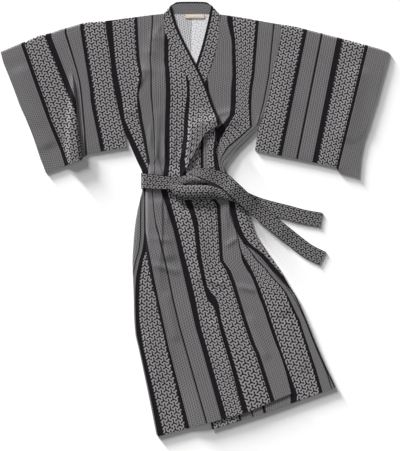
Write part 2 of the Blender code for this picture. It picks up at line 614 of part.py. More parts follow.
def knot_turn():
    """Lower turn of the knot: an arch from the slit over to the lower edge."""
    arch = ((0.0, 0.0), (0.10, 0.45), (0.26, 0.85), (0.45, 1.0), (0.66, 0.90), (0.86, 0.55), (1.0, 0.0))
    rows = []
    for x, upper, lower, above, crest, below in KNOT_TURN:
        rows.append([(x, upper + (lower - upper) * t,
                      (above if t < 0.45 else below) * (1.0 - h) + crest * h) for t, h in arch])
    return np.array(rows, float)


def label():
    (cx, cy), (width, height) = LABEL_CENTRE, LABEL_SIZE
    z = WALL + FLOOR_GAP + 0.35 + LABEL_WALL / 2.0
    rows = [[(cx + width * u, cy + height * v, z) for u in (-0.5, 0.0, 0.5)] for v in (-0.5, 0.5)]
    return np.array(rows, float)


# ------------------------------------------------------------ build
for old in list(bpy.data.objects):
    bpy.data.objects.remove(old, do_unlink=True)
robe = bpy.data.collections.new("yukata_robe")
bpy.context.scene.collection.children.link(robe)

grey = material("striped_cotton_grey", COTTON_GREY)
pattern = material("striped_cotton_pattern", COTTON_PATTERN)
cream = material("label_cream", LABEL_CREAM, 0.8)

right_side, _ = side_line(np.array(RIGHT_PANEL, float), BACK_RIGHT, RIGHT_TURN_ROW, RIGHT_ARMHOLE_ROW, -1)
left_side, _ = side_line(np.array(LEFT_PANEL, float), BACK_LEFT, LEFT_TURN_ROW, LEFT_ARMHOLE_ROW, 1)
right_back = back(BACK_RIGHT, right_side, NECK_RIGHT, RIGHT_TURN_ROW, -1, RIGHT_BACK_EXTRA)
left_back = back(BACK_LEFT, left_side, NECK_LEFT, LEFT_TURN_ROW, 1, LEFT_EXTRA)
sheet("back_right", right_back, WALL, grey)
sheet("back_left", left_back, WALL, grey)
sheet("front_right", right_front(), WALL, grey)
sheet("front_left", left_front(), WALL, grey)
sheet("overlap_right", right_overlap(), WALL, pattern)
sheet("overlap_left", left_overlap(), WALL, grey)
sheet("collar", collar(), COLLAR_WALL, pattern)
right_armhole = [row[0:2] for row in BACK_RIGHT[:RIGHT_ARMHOLE_ROW + 1]] + [SLEEVE_RIGHT_CORNER]
left_armhole = [row[0:2] for row in BACK_LEFT[:LEFT_ARMHOLE_ROW + 1]] + [SLEEVE_LEFT_CORNER]
sheet("sleeve_right", sleeve(SLEEVE_RIGHT, right_armhole, (SLEEVE_RIGHT_FOLDS,),
                             SHOULDER_BOW_RIGHT), WALL, pattern)
sheet("sleeve_left", sleeve(SLEEVE_LEFT, left_armhole, (SLEEVE_LEFT_FOLDS,),
                            SHOULDER_BOW_LEFT), WALL, pattern)
sheet("label", label(), LABEL_WALL, cream)
sheet("belt_band", belt_band(), BELT_WALL, pattern)
sheet("belt_knot_turn", knot_turn(), BELT_WALL, pattern)
sheet("belt_end_lower", strip(TAIL_LOWER), BELT_WALL, pattern)
sheet("belt_end_upper", strip(TAIL_UPPER), BELT_WALL, pattern)
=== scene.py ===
"""Looks of a cotton yukata robe with its own belt, laid flat on its back.

Tables are in millimetres: X runs to the wearer's left, Y from the hem up to the
neck, Z is the height over the surface. Heights are counted in layers of cloth,
as in the solids: the back is layer 0, the left front layer 1, the right front,
which closes over it, layer 2, and a fold lies two layers higher.
"""

import bpy
import numpy as np
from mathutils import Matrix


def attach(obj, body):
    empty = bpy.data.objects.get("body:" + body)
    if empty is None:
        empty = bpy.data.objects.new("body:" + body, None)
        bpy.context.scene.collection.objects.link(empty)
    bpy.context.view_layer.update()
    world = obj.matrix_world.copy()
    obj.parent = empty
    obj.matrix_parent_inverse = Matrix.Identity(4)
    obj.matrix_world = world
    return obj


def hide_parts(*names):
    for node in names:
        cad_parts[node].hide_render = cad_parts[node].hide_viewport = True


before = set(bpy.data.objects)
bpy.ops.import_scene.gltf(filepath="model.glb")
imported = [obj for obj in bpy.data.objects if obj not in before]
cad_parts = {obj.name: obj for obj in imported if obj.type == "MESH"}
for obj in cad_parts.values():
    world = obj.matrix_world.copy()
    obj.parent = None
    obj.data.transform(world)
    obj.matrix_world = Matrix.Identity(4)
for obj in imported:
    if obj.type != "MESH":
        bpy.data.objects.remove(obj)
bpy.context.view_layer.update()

bl_info = {
    "name": "Yukata Robe",
    "version": (1, 0, 0),
    "blender": (4, 5, 0),
    "location": "3D View > Sidebar > Robe",
    "description": "Builds the cloth, the stripes and the belt of a robe that lies flat",
    "category": "Add Mesh",
}

MM = 0.001

# ------------------------------------------------------------ how the cloth lies
# Right front, on top. Each row: side x, y | tuck edge x, rise, depth | inner
# edge x, y | collar seam x, y | free edge x, y
RIGHT_PANEL = (
    (-303, 669, -203, 0, 0, -105, 694, -105, 694, -80, 722),
    (-299, 632, -203, 0, 0, -104, 646, -104, 646, -57, 646),
    (-291, 582, -200, 0, 0, -81, 588, -81, 588, -30, 588),
    (-284, 531, -195, 0, 0, -55, 538, -55, 538, -4, 538),
    (-279, 480, -190, 1, 0, -32, 489, -32, 489, 21, 489),
    (-271, 433, -194, 1, 12, -26, 436, -3, 436, 44, 436),
    (-261, 382, -196, 1, 18, -31, 385, 15, 384, 62, 385),
    (-250, 335, -188, 1, 21, -36, 335, 29, 348, 76, 353),
    (-239, 298, -180, 1, 23, -38, 287, 33, 330, 80, 342),
    (-213, 247, -170, 1, 26, -44, 237, 35, 313, 82, 332),
    (-191, 196, -160, 1, 32, -51, 183, 36, 299, 84, 325),
    (-174, 157, -156, 1, 40, -50, 131, 34, 288, 84, 320),
    (-176, 132, -161, 1, 44, -50, 125, 23, 308, 67, 340),
    (-174, 118, -165, 1, 48, -49, 115, 44, 267, 76, 294),
    (-173, 108, -166, 1, 50, -47, 106, 42, 223, 71, 233),
    (-172, 98, -167, 1, 52, -45, 96, 43, 176, 75, 179),
    (-171, 86, -167, 1, 52, -41, 83, 46, 122, 82, 125),
    (-170, 68, -168, 1, 52, -34, 61, 70, 75, 114, 64),
    (-171, 14, -168, 1, 52, -16, 17, 0, 0, 118, 14),
    (-171, -44, -167, 1, 51, -1, -44, 0, 0, 138, -40),
    (-176, -98, -164, 1, 46, 4, -94, 0, 0, 150, -93),
    (-188, -145, -159, 1, 37, 11, -145, 0, 0, 163, -145),
    (-199, -206, -149, 1, 27, 24, -206, 0, 0, 197, -206),
    (-201, -267, -132, 1, 15, 40, -263, 0, 0, 219, -267),
    (-200, -321, -123, 1, 11, 68, -307, 0, 0, 237, -314),
    (-197, -382, -109, 1, 6, 85, -375, 0, 0, 256, -372),
    (-184, -443, -94, 1, 0, 103, -436, 0, 0, 278, -432),
    (-166, -527, -73, 0.3, 0, 125, -510, 0, 0, 297, -483),
    (-144, -629, -48, 0, 0, 144, -585, 0, 0, 313, -537),
    (-124, -734.5, -23, 0, 0, 164, -657, 0, 0, 326, -589),
)
# Left front, below: side x, y | inner edge x, y | collar seam x, y | free edge x, y
LEFT_PANEL = (
    (293, 657, 84, 692, 84, 692, 56, 722),
    (290, 612, 82, 639, 82, 639, 38, 639),
    (277, 551, 73, 578, 73, 578, 22, 578),
    (262, 494, 59, 527, 59, 527, 7, 531),
    (254, 443, 43, 482, 43, 482, -8, 484),
    (246, 402, 48, 433, 23, 433, -26, 436),
    (235, 364, 47, 385, 4, 382, -45, 385),
    (225, 326, 41, 338, -12, 331, -60, 335),
    (215, 307, 33, 301, -22, 287, -72, 287),
    (188, 279, 26, 267, -30, 247, -81, 244),
    (151, 244, 23, 233, -36, 210, -88, 203),
    (120, 211, 22, 200, -40, 176, -92, 166),
    (98, 173, 23, 166, -42, 142, -95, 132),
    (104, 125, 26, 125, -43, 112, -96, 98),
    (113, 68, 31, 71, 0, 0, -97, 54),
    (124, 10, 45, 10, 0, 0, -92, -7),
    (141, -42, 62, -51, 0, 0, -84, -71),
    (166, -81, 79, -108, 0, 0, -75, -135),
    (210, -116, 97, -162, 0, 0, -64, -199),
    (256, -167, 117, -223, 0, 0, -50, -267),
    (302, -218, 139, -287, 0, 0, -33, -334),
    (331, -250, 158, -348, 0, 0, -16, -402),
    (369, -334, 178, -419, 0, 0, 3, -476),
    (401, -414, 200, -497, 0, 0, 23, -558),
    (437, -497, 222, -578, 0, 0, 41, -635),
    (472, -571, 242, -654, 0, 0, 59, -711),
)
# Backs: fold at the side x, y | centre back seam x, y
BACK_RIGHT = (
    (-303, 669, -11, 692), (-299, 632, -12, 646), (-291, 582, -13, 588),
    (-284, 531, -14, 534), (-279, 480, -15, 484), (-271, 433, -17, 433),
    (-261, 382, -19, 382), (-250, 335, -21, 335), (-239, 298, -23, 294),
    (-217, 247, -24, 244), (-195, 196, -25, 193), (-178, 157, -25, 146),
    (-177, 132, -25, 129), (-176, 118, -23, 115), (-176, 108, -22, 105),
    (-177, 98, -21, 95), (-179, 86, -20, 81), (-184, 68, -17, 61),
    (-196, 14, -8, 10), (-204, -44, 4, -44), (-208, -98, 17, -94),
    (-210, -145, 29, -142), (-208, -206, 45, -199), (-206, -267, 62, -260),
    (-205, -321, 78, -314), (-201, -382, 95, -372), (-188, -443, 111, -429),
    (-170, -527, 129, -493), (-149, -629, 151, -568), (-128, -730, 173, -649),
)
BACK_LEFT = (
    (293, 657, -11, 692), (290, 612, -12, 646), (277, 551, -13, 588),
    (262, 494, -14, 534), (254, 443, -15, 484), (246, 402, -17, 433),
    (235, 364, -19, 385), (225, 326, -21, 338), (215, 307, -23, 298),
    (192, 279, -24, 264), (155, 244, -25, 230), (124, 211, -26, 196),
    (102, 173, -26, 162), (123, 125, -24, 122), (154, 68, -19, 68),
    (186, 10, -8, 10), (201, -42, 4, -40), (225, -81, 14, -83),
    (249, -116, 26, -128), (285, -167, 40, -181), (314, -218, 55, -236),
    (335, -250, 70, -287), (373, -334, 92, -361), (405, -414, 117, -449),
    (441, -497, 144, -547), (476, -568, 173, -649),
)
NECK_RIGHT, NECK_LEFT = (-105.0, 693.0), (84.0, 691.0)       # shoulder seams at the neck
# Rows of the tables: where the armhole ends, where a cuff is sewn up from, the tips
# of the overlaps, the edge of the overhang, the collar's ends, where the backs turn
ARMHOLE_ROW, CUFF_SEWN_ROW, OVERLAP_TIP_ROW, OVERHANG_ROW = 8, 6, 4, 11
COLLAR_END_RIGHT, COLLAR_END_LEFT = 16, 13
RIGHT_TURN_ROW, LEFT_TURN_ROW = 11, 12
# Sleeves: cuff x, y | tuck edge x, y, rise, depth
SLEEVE_RIGHT = (
    (-656, 565, -449, 639, 0, 0), (-647, 530, -439, 601, 0, 0),
    (-628, 481, -427, 549, 0, 0), (-609, 432, -417, 497, 0, 0),
    (-591, 384, -408, 445, 1, 0), (-571, 339, -402, 397, 1, 9),
    (-551, 290, -397, 345, 1, 19), (-535, 245, -391, 296, 1, 27),
    (-523, 209, -385, 258, 1, 33), (-503, 156, -378, 201, 1, 40),
)
SLEEVE_RIGHT_CORNER = (-230.0, 242.0)            # lower corner beside the body
SLEEVE_LEFT = (
    (656, 563), (644, 523), (627, 462), (611, 404), (595, 353),
    (583, 313), (572, 274), (563, 237), (559, 217), (552, 142),
)
SLEEVE_LEFT_CORNER = (203.0, 232.0)
# Step in its bottom edge: x, y, drop, run, and its share of the row at the top
SLEEVE_LEFT_STEP = (480.0, 172.0, 11.0, 5.0, 0.76)
TUCK_BOTTOM_RAISED = (6.0, 18.0)                 # bottom edge at the tuck: on it and past it
# Bow of each shoulder fold above the straight line between its ends: x, rise
SHOULDER_BOW_RIGHT = ((-656, 0), (-607, 3.5), (-567, 5), (-530, 9), (-486, 2.5),
                      (-449, 3.5), (-405, 7), (-364, 9), (-324, 3), (-303, 0))
SHOULDER_BOW_LEFT = ((293, 0), (335, 5), (420, 5.5), (540, 5.7), (582, 3.2), (623, 2.9), (656, 0))
BOW_FADES = (350.0, 550.0)                       # from none at the lower to all at the upper
# Back of the collar: its upper edge's y at its middle x, and its drop to half its width
COLLAR_TOP, COLLAR_MIDDLE, COLLAR_DROP, COLLAR_HALF = 734.4, -12.0, 3.0, 60.0
COLLAR_BACK_X = (-58.0, -30.0, 0.0, 20.0, 37.0)
# Belt front run: x, upper y, lower y, height at the edges and at the middle
BELT_FRONT = (
    (-170, 155, 103, 11.6, 11.6), (-140, 151, 101, 12.0, 12.0), (-100, 146, 100, 12.0, 12.0),
    (-60, 141, 100, 12.0, 12.2), (-36, 147, 119, 12.0, 12.8), (-8, 148, 121, 12.0, 14.6),
    (30, 138, 121, 12.0, 14.4), (62, 130, 121, 12.0, 13.0),
)
# The same where the belt turns round the side, then the ends of its middle line
# behind the robe and the places along it
BELT_FOLD = (
    (-178.5, 155, 103, 9.8, 9.8), (-181, 154, 103, 5.4, 5.4), (-180.4, 153, 103, 2.0, 2.0),
    (-178.2, 152.5, 102.5, 0.89, 0.89),
)
BELT_MIDDLE = ((-180.0, 128.0), (130.0, 106.0))
BELT_BACK_X = (-168.0, -110.0, -50.0, 10.0, 70.0, 125.0)
# Lower turn of the knot: x, upper y, lower y, height above, of the crest, below
KNOT_TURN = (
    (-88, 116, 105, 14.2, 14.6, 14.2), (-78, 117, 92, 14.4, 15.5, 13.6),
    (-66, 117, 75, 14.4, 16.2, 10.8), (-52, 117, 67, 14.4, 16.8, 9.4),
    (-30, 115, 63, 14.3, 17.2, 9.4), (10, 115, 64, 14.3, 17.2, 9.4),
    (44, 114, 66, 14.0, 16.4, 9.4), (80, 105, 68, 11.4, 12.4, 9.3),
    (118, 92, 62, 9.8, 10.4, 9.0), (147, 72, 53, 6.4, 6.8, 6.4),
)
# Arch of a section of the turn: share of the way down, share of the crest's height
KNOT_ARCH = (
    (0.0, 0.0), (0.05, 0.25), (0.10, 0.45), (0.18, 0.69), (0.26, 0.85), (0.35, 0.95), (0.45, 1.0),
    (0.56, 0.97), (0.66, 0.90), (0.76, 0.76), (0.86, 0.55), (0.93, 0.30), (1.0, 0.0),
)
# Belt ends: middle line x, y, width, height
TAIL_LOWER = (
    (-22, 159, 6, 9.6), (0, 158, 22, 13.0), (20, 156, 32, 15.4), (40, 152, 40, 15.8),
    (58, 147, 46, 15.2), (80, 139, 48, 14.0), (102, 127, 49, 13.8), (126, 106, 49, 15.0),
    (154, 80, 49, 12.2), (184, 52, 49, 8.6), (214, 26, 49, 5.0), (250, -4, 49, 3.6),
    (290, -36, 49, 3.4), (335, -72, 49, 1.3), (386, -110, 49, 0.9), (432, -133, 49, 0.9),
)
TAIL_UPPER = (
    (172, 69, 44, 6.6), (194, 57, 48, 3.6), (216, 48, 49, 0.9),
    (250, 38, 49, 0.9), (310, 23, 49, 0.9), (370, 7, 49, 0.9), (427, -3, 49, 0.9),
)
LABEL_CENTRE, LABEL_SIZE = (0.0, 685.0), (66.0, 13.0)
LABEL_LIES = (2.0, 0.35, 0.6)                    # height of its edge, its crown, its thickness

# ------------------------------------------------------------ folds and creases
# Each is a ridge: from x, y | to x, y | half width, height. The creases lift every
# layer at their place, so nothing passes through what lies over it; the broad folds lift only the
# pieces they are given to.
BROAD_RIGHT = (
    (-118, 640, -172, 480, 26, 2.0), (-122, 80, -84, -150, 28, 2.5),
    (-20, 40, 40, -220, 28, 2.5),
)
BROAD_LEFT = ((84, 316, 160, 352, 24, 2.5), (165, -20, 320, -330, 30, 2.0))
BROAD_SLEEVE_RIGHT = ((-600, 520, -490, 230, 32, 2.0),)
BROAD_SLEEVE_LEFT = ((560, 520, 500, 250, 32, 2.0), (330, 560, 280, 300, 32, 0.8))
CREASES = (
    (-112, 660, -150, 590, 5, 2.0), (-148, 600, -160, 530, 5, 2.2),
    (-158, 540, -196, 430, 5, 2.2), (-246, 378, -196, 352, 6, 2.0),
    (-124, 380, -130, 190, 6, 1.8), (-150, 330, -148, 190, 5, 1.4),
    (-100, 300, -104, 188, 6, 1.6), (-70, 290, -78, 188, 6, 1.4),
    (222, 356, 208, 312, 4, 1.8), (60, 350, 150, 372, 6, 1.6), (-20, 260, -60, 190, 7, 1.4),
    (-140, 60, -150, -40, 6, 1.6), (-100, 62, -88, -20, 7, 1.5), (-60, 60, -20, -60, 8, 1.8),
    (20, 80, 60, -50, 8, 1.6), (96, 50, 112, -40, 6, 1.4),
    (100, -96, 148, -60, 6, 1.8), (-155, -149, -40, -182, 11, 1.8),
    (30, -200, 112, -226, 10, 2.0), (136, -222, 214, -246, 9, 1.8),
    (-150, -62, -66, -76, 9, 1.2), (-100, -240, -60, -420, 14, 1.6),
    (60, -330, 130, -540, 15, 1.6), (180, -320, 250, -480, 13, 1.6),
    (-170, -380, -120, -560, 14, 1.6), (300, -330, 380, -520, 12, 1.4),
)

# ------------------------------------------------------------ stripes of the cloth
# Widths across the cloth, from the edge that is measured from, and what each is.
GREY, MOTIF, DARK = "grey", "motif", "dark"
BANDS = {
    "front_right": ((24, DARK), (79, MOTIF), (11, DARK), (47, GREY), (5, DARK), (44, GREY),
                    (19, DARK), (71, MOTIF)),
    "overlap_right": ((17, DARK), (71, MOTIF), (14, DARK), (78, GREY)),
    "front_left": ((20, GREY), (5, DARK), (49, GREY), (10, DARK), (74, MOTIF), (20, DARK),
                   (102, GREY)),
    "overlap_left": ((10, DARK), (34, GREY), (6, DARK), (37, GREY), (9, DARK), (88, MOTIF),
                     (16, DARK)),
    "back_right": ((9, GREY), (4, DARK), (49, GREY), (10, DARK), (74, MOTIF), (20, DARK),
                   (154, GREY)),
    "back_left": ((20, DARK), (79, MOTIF), (11, DARK), (47, GREY), (5, DARK), (44, GREY),
                  (19, DARK), (95, MOTIF)),
    "collar": ((9, DARK), (66, MOTIF)),
    "collar_inside": ((5, DARK), (70, GREY)),
    "sleeve": ((68, GREY), (12, DARK), (74, MOTIF), (20, DARK), (47, GREY), (5, DARK),
               (46, GREY), (12, DARK), (96, MOTIF)),
    "belt": ((2.5, DARK), (56, MOTIF), (2.5, DARK)),
}
# Where the boundaries between the stripes run over the robe: measure across the
# cloth, then x, y down the line.
FRONT_RIGHT_UNDER = {
    24: ((-280, 668), (-269, 538), (-262, 487), (-248, 419), (-237, 335), (-206, 267),
         (-174, 200), (-158, 166), (-151, 95), (-151, -71), (-176, -138), (-186, -206),
         (-189, -274), (-188, -341), (-172, -443), (-105, -727)),
}
FRONT_RIGHT = {
    103: ((-203, 668), (-199, 588), (-197, 538), (-186, 487), (-197, 419), (-190, 335),
          (-175, 267), (-161, 200), (-172, 93), (-173, -40), (-166, -98), (-150, -189),
          (-133, -270), (-111, -365), (-95, -436), (-25, -720)),
    114: ((-194, 668), (-190, 588), (-186, 538), (-177, 487), (-190, 419), (-176, 335),
          (-161, 267), (-150, 200), (-166, 93), (-166, -40), (-157, -98), (-140, -189),
          (-123, -270), (-103, -365), (-88, -436), (-14, -720)),
    163.5: ((-143, 668), (-149, 588), (-152, 538), (-150, 487), (-148, 419), (-140, 335),
            (-137, 267), (-136, 200), (-147, 93), (-144, 31), (-127, -40), (-107, -115),
            (-91, -188), (-75, -270), (-52, -365), (-32, -436), (40, -690)),
    210: ((-102, 668), (-104, 588), (-103, 538), (-99, 487), (-98, 419), (-101, 335),
          (-103, 267), (-101, 200), (-115, 93), (-95, 35), (-72, -40), (-55, -115),
          (-39, -188), (-20, -270), (2, -365), (23, -436), (88, -672)),
    229: ((-87, 668), (-89, 588), (-90, 538), (-86, 487), (-82, 419), (-85, 335),
          (-85, 267), (-85, 200), (-93, 93), (-76, 35), (-55, -40), (-37, -115),
          (-17, -188), (2, -270), (20, -365), (41, -436), (108, -672)),
}
OVERLAP_RIGHT = {
    0: ((-31, 487), (-31, 402), (-36, 335), (-42, 267), (-53, 200), (-43, 98), (-29, 46),
        (-5, -8), (2, -73), (6, -116), (18, -188), (23, -224), (34, -245), (55, -264),
        (62, -288), (71, -340), (99, -425), (163, -656)),
    17: ((-19, 487), (-18, 402), (-23, 335), (-26, 267), (-35, 200), (-23, 98), (-7, 46),
         (10, -8), (16, -73), (20, -116), (33, -188), (39, -224), (52, -245), (71, -266),
         (80, -288), (88, -340), (114, -425), (181, -656)),
    88: ((52, 487), (53, 402), (48, 335), (46, 267), (38, 200), (62, 98), (73, 46),
         (77, -19), (82, -105), (84, -140), (106, -176), (123, -216), (144, -284),
         (165, -353), (190, -424), (204, -453), (226, -524), (254, -612)),
    102: ((66, 487), (66, 402), (62, 335), (60, 267), (52, 200), (75, 98), (85, 46),
          (88, -19), (92, -105), (95, -140), (121, -176), (136, -216), (156, -284),
          (178, -353), (203, -424), (217, -453), (240, -524), (268, -612)),
}
OVERLAP_RIGHT_UNDER = {
    0: OVERLAP_RIGHT[0], 17: OVERLAP_RIGHT[17],
    88: ((19, 301), (19, 166), (35, 98)) + OVERLAP_RIGHT[88][6:],
    102: ((28, 301), (28, 166), (46, 98)) + OVERLAP_RIGHT[102][6:],
}
# Below the left front's blouse fold, from about y 335 down to 260, lines 158 and 178 part so that the
# charcoal stripe fills a wedge under the fold's edge: partly the stripe itself, partly painted shadow
# of the fold.
FRONT_LEFT = {
    178: ((110, 668), (126, 602), (128, 490), (123, 436), (122, 389), (119, 352),
          (100, 326), (66, 300), (72, 275), (79, 256), (66, 231), (76, 191), (92, 95),
          (106, 10), (122, -54), (132, -81), (148, -128), (175, -172), (197, -223),
          (219, -284), (237, -340), (261, -409), (288, -487), (324, -588)),
    158: ((129, 668), (137, 602), (141, 490), (141, 436), (140, 389), (137, 352),
          (124, 333), (84, 263), (71, 231), (80, 191), (106, 95), (119, 10), (136, -54),
          (146, -74), (164, -120), (195, -172), (217, -223), (239, -284), (258, -340),
          (281, -409), (308, -487), (346, -588)),
    84: ((207, 668), (201, 602), (192, 490), (183, 436), (181, 389), (184, 352),
         (188, 311), (156, 283), (108, 243), (92, 215), (83, 191), (111, 95), (124, 10),
         (146, -54), (163, -81), (187, -111), (205, -138), (234, -165), (261, -199),
         (285, -223), (306, -250), (319, -284), (346, -340), (376, -432), (402, -514),
         (422, -585)),
    74: ((217, 668), (212, 602), (203, 490), (195, 436), (192, 389), (192, 352),
         (194, 311), (162, 281), (114, 240), (95, 213), (86, 191), (113, 95), (127, 10),
         (149, -54), (168, -81), (193, -111), (212, -138), (241, -165), (268, -199),
         (292, -223), (314, -250), (329, -284), (358, -340), (385, -432), (413, -514),
         (433, -585)),
    22.5: ((269, 668), (262, 602), (251, 490), (241, 436), (232, 389), (222, 355),
           (212, 319), (184, 291), (136, 244), (92, 191), (116, 95), (129, 10),
           (153, -54), (175, -81), (202, -111), (222, -138), (252, -165), (280, -199),
           (303, -223), (325, -250), (344, -284), (373, -343), (408, -432), (444, -514),
           (467, -585)),
}
SLEEVE_RIGHT_OUTER = {
    68: ((-587, 586), (-510, 369), (-497, 335), (-484, 301), (-470, 267), (-455, 233),
         (-439, 179)),
    80: ((-574, 589), (-495, 369), (-485, 335), (-470, 301), (-455, 267), (-443, 233),
         (-426, 189)),
    154: ((-504, 610), (-432, 429), (-419, 402), (-405, 369), (-391, 335), (-382, 301),
          (-377, 267), (-374, 233), (-372, 200)),
    174: ((-485, 615), (-415, 436), (-403, 402), (-395, 369), (-381, 335), (-374, 301),
          (-372, 267), (-369, 233), (-368, 200)),
}
SLEEVE_RIGHT_INNER = {
    221: ((-440, 628), (-422, 571), (-401, 504), (-391, 463), (-385, 419), (-381, 375),
          (-378, 335), (-374, 301), (-373, 267), (-369, 216)),
    226: ((-435, 630), (-417, 571), (-397, 504), (-387, 463), (-381, 419), (-377, 375),
          (-374, 335), (-371, 301), (-369, 267), (-365, 216)),
    272: ((-389, 644), (-357, 436), (-354, 402), (-349, 369), (-341, 335), (-334, 301),
          (-327, 267), (-320, 233), (-317, 220)),
    284: ((-377, 647), (-343, 436), (-340, 402), (-334, 369), (-328, 335), (-320, 301),
          (-313, 267), (-307, 233), (-303, 220)),
}
SLEEVE_LEFT_LINES = {
    68: ((586, 583), (484, 162)), 80: ((575, 587), (476, 166)),
    154: ((500, 607), (412, 179)), 174: ((481, 610), (396, 183)),
    221: ((432, 622), (347, 193)), 226: ((427, 624), (342, 196)),
    272: ((381, 634), (294, 206)), 284: ((369, 637), (282, 210)),
}


# ------------------------------------------------------------ user's settings
class RobeSizes(bpy.types.PropertyGroup):
    """Sizes of the cloth that do not change where it lies."""
    cloth: bpy.props.FloatProperty(
        name="Cloth", description="Thickness of the cotton", default=0.0009,
        min=0.0004, max=0.0012, unit='LENGTH')
    collar: bpy.props.FloatProperty(
        name="Collar", description="Thickness of the folded collar", default=0.0014,
        min=0.0006, max=0.0016, unit='LENGTH')
    belt: bpy.props.FloatProperty(
        name="Belt", description="Thickness of the folded belt", default=0.0014,
        min=0.0006, max=0.0016, unit='LENGTH')
    mesh_step: bpy.props.FloatProperty(
        name="Mesh step", description="Distance between the points of a sheet", default=0.006,
        min=0.003, max=0.02, unit='LENGTH')
    stars: bpy.props.FloatProperty(
        name="Stars", description="Distance between two stars of the woven pattern",
        default=0.0195, min=0.008, max=0.05, unit='LENGTH')
    core: bpy.props.FloatProperty(
        name="Core", description="Radius of a star's middle", default=0.0033, unit='LENGTH')
    arm: bpy.props.FloatProperty(
        name="Arm", description="Width of a star's arm at its neck", default=0.0036,
        unit='LENGTH')
    reach: bpy.props.FloatProperty(
        name="Reach", description="From a star's middle to the middle of an arm's round end",
        default=0.0090, unit='LENGTH')
    knob: bpy.props.FloatProperty(
        name="Knob", description="Radius of an arm's round end", default=0.0029, unit='LENGTH')
    dots: bpy.props.FloatProperty(
        name="Dots", description="Distance between the dots in the grey stripes",
        default=0.0080, min=0.004, max=0.02, unit='LENGTH')
    thread: bpy.props.FloatProperty(
        name="Thread", description="Distance between two threads of the weave",
        default=0.0011, min=0.0005, max=0.003, unit='LENGTH')


class RobeColours(bpy.types.PropertyGroup):
    """Colours of the dyed cotton."""
    charcoal: bpy.props.FloatVectorProperty(
        name="Charcoal", description="Dark stripes and ground of the pattern",
        default=(0.014, 0.012, 0.015), min=0.0, max=1.0, subtype='COLOR')
    grey: bpy.props.FloatVectorProperty(
        name="Grey", description="Grey stripes", default=(0.256, 0.248, 0.255),
        min=0.0, max=1.0, subtype='COLOR')
    pale: bpy.props.FloatVectorProperty(
        name="Pale", description="Lines of the pattern", default=(0.36, 0.347, 0.354),
        min=0.0, max=1.0, subtype='COLOR')
    sash: bpy.props.FloatVectorProperty(
        name="Sash", description="Lines of the pattern on the belt",
        default=(0.275, 0.267, 0.272), min=0.0, max=1.0, subtype='COLOR')
    reverse: bpy.props.FloatVectorProperty(
        name="Reverse", description="Undyed side of the cloth", default=(0.9, 0.9, 0.93),
        min=0.0, max=1.0, subtype='COLOR')
    label: bpy.props.FloatVectorProperty(
        name="Label", description="Woven neck label", default=(0.88, 0.74, 0.62),
        min=0.0, max=1.0, subtype='COLOR')


class RobeStage(bpy.types.PropertyGroup):
    """Camera, floor and lights."""
    camera_height: bpy.props.FloatProperty(
        name="Camera height", description="Camera over the floor", default=6.0, unit='LENGTH')
    camera_x: bpy.props.FloatProperty(
        name="Camera X", description="Middle of the view", default=0.0177, unit='LENGTH')
    camera_y: bpy.props.FloatProperty(
        name="Camera Y", description="Middle of the view", default=-0.0218, unit='LENGTH')
    view: bpy.props.FloatProperty(
        name="View", description="Height of the view on the floor", default=1.5244, unit='LENGTH')
    floor: bpy.props.FloatVectorProperty(
        name="Floor", description="Colour of the floor", default=(0.92, 0.92, 0.92),
        min=0.0, max=1.0, subtype='COLOR')
    key: bpy.props.FloatProperty(
        name="Key light", description="Light on the cloth from the upper left", default=11.0)
    rake: bpy.props.FloatProperty(
        name="Rake light", description="Lowest light on the floor, for long shadows", default=30.5)
    slant: bpy.props.FloatProperty(
        name="Slant light", description="Light on the floor, for short shadows", default=8.5)
    fill: bpy.props.FloatProperty(
        name="Fill light", description="Power of the light from above", default=24.0,
        unit='POWER')
    sky: bpy.props.FloatProperty(
        name="Sky", description="Light from all round", default=0.2)


# ------------------------------------------------------------ surfaces
class Lay:
    """How the cloth lies: heights and distances in mm, layers, and shares of a width."""
    wall, floor_gap, layer = 1.2, 0.05, 2.2
    pressed, left_front, front = 0.7, 1.0, 2.0       # layers: sewn edge, left front, right front
    folded = floor_gap + 0.8                         # middle of a folded band on the surface
    ridge_fade = 30.0                                # a ridge fades over this at each end
    belt_rise, belt_width = 2.0, 50.0
    belt_margin, belt_slope = 6.0, 28.0              # beside the belt: lifted, then going down
    belt_past, belt_end_slope = 40.0, 30.0           # past its ends: lift begins, slope's length
    turned_least = 4.0                               # least width of the backs' turned edge
    turn_inward, turn_lift = 2.2, 0.2                # where the side edge goes over to it
    before_tuck, past_tuck = 22.0, 16.0              # flat up to here, and again from here
    down_before, seam_clear = 20.0, 12.0             # the right front comes down off the left
    side_share, near_side = 0.32, 0.1                # columns near the side: backs, left front
    tip_share, tip_layer = 0.12, 1.85                # the overlaps' upper tips
    hung_share = 0.36                                # the overhang is full from this share on
    neck_high, neck_low, neck_rows = 3.5, 1.35, 4.0  # collar at the neck's sides, and how far
    neck_inset = (0.09, 0.05)                        # the collar narrows at the neck's sides
    round_fold, centre_gap = 2.0, 0.6                # round a shoulder fold; at the back seam
    skirt_top, skirt_drawn = 60.0, 0.92              # below this the cloth is drawn out a little


def soft(value):
    """0 below 0, 1 above 1 and a smooth ramp between."""
    value = np.clip(value, 0.0, 1.0)
    return value * value * (3.0 - 2.0 * value)


def ridges(x, y, table):
    """Height of the ridges: a bell across each line that fades at its two ends."""
    total = np.zeros_like(x, dtype=float)
    for x0, y0, x1, y1, half, height in table:
        length = np.hypot(x1 - x0, y1 - y0)
        along = ((x - x0) * (x1 - x0) + (y - y0) * (y1 - y0)) / length
        across = ((x - x0) * (y1 - y0) - (y - y0) * (x1 - x0)) / length
        fade = min(Lay.ridge_fade, length / 3.0)
        ends = soft(along / fade) * soft((length - along) / fade)
        total += height * ends * np.exp(-(across / half) ** 2)
    return total


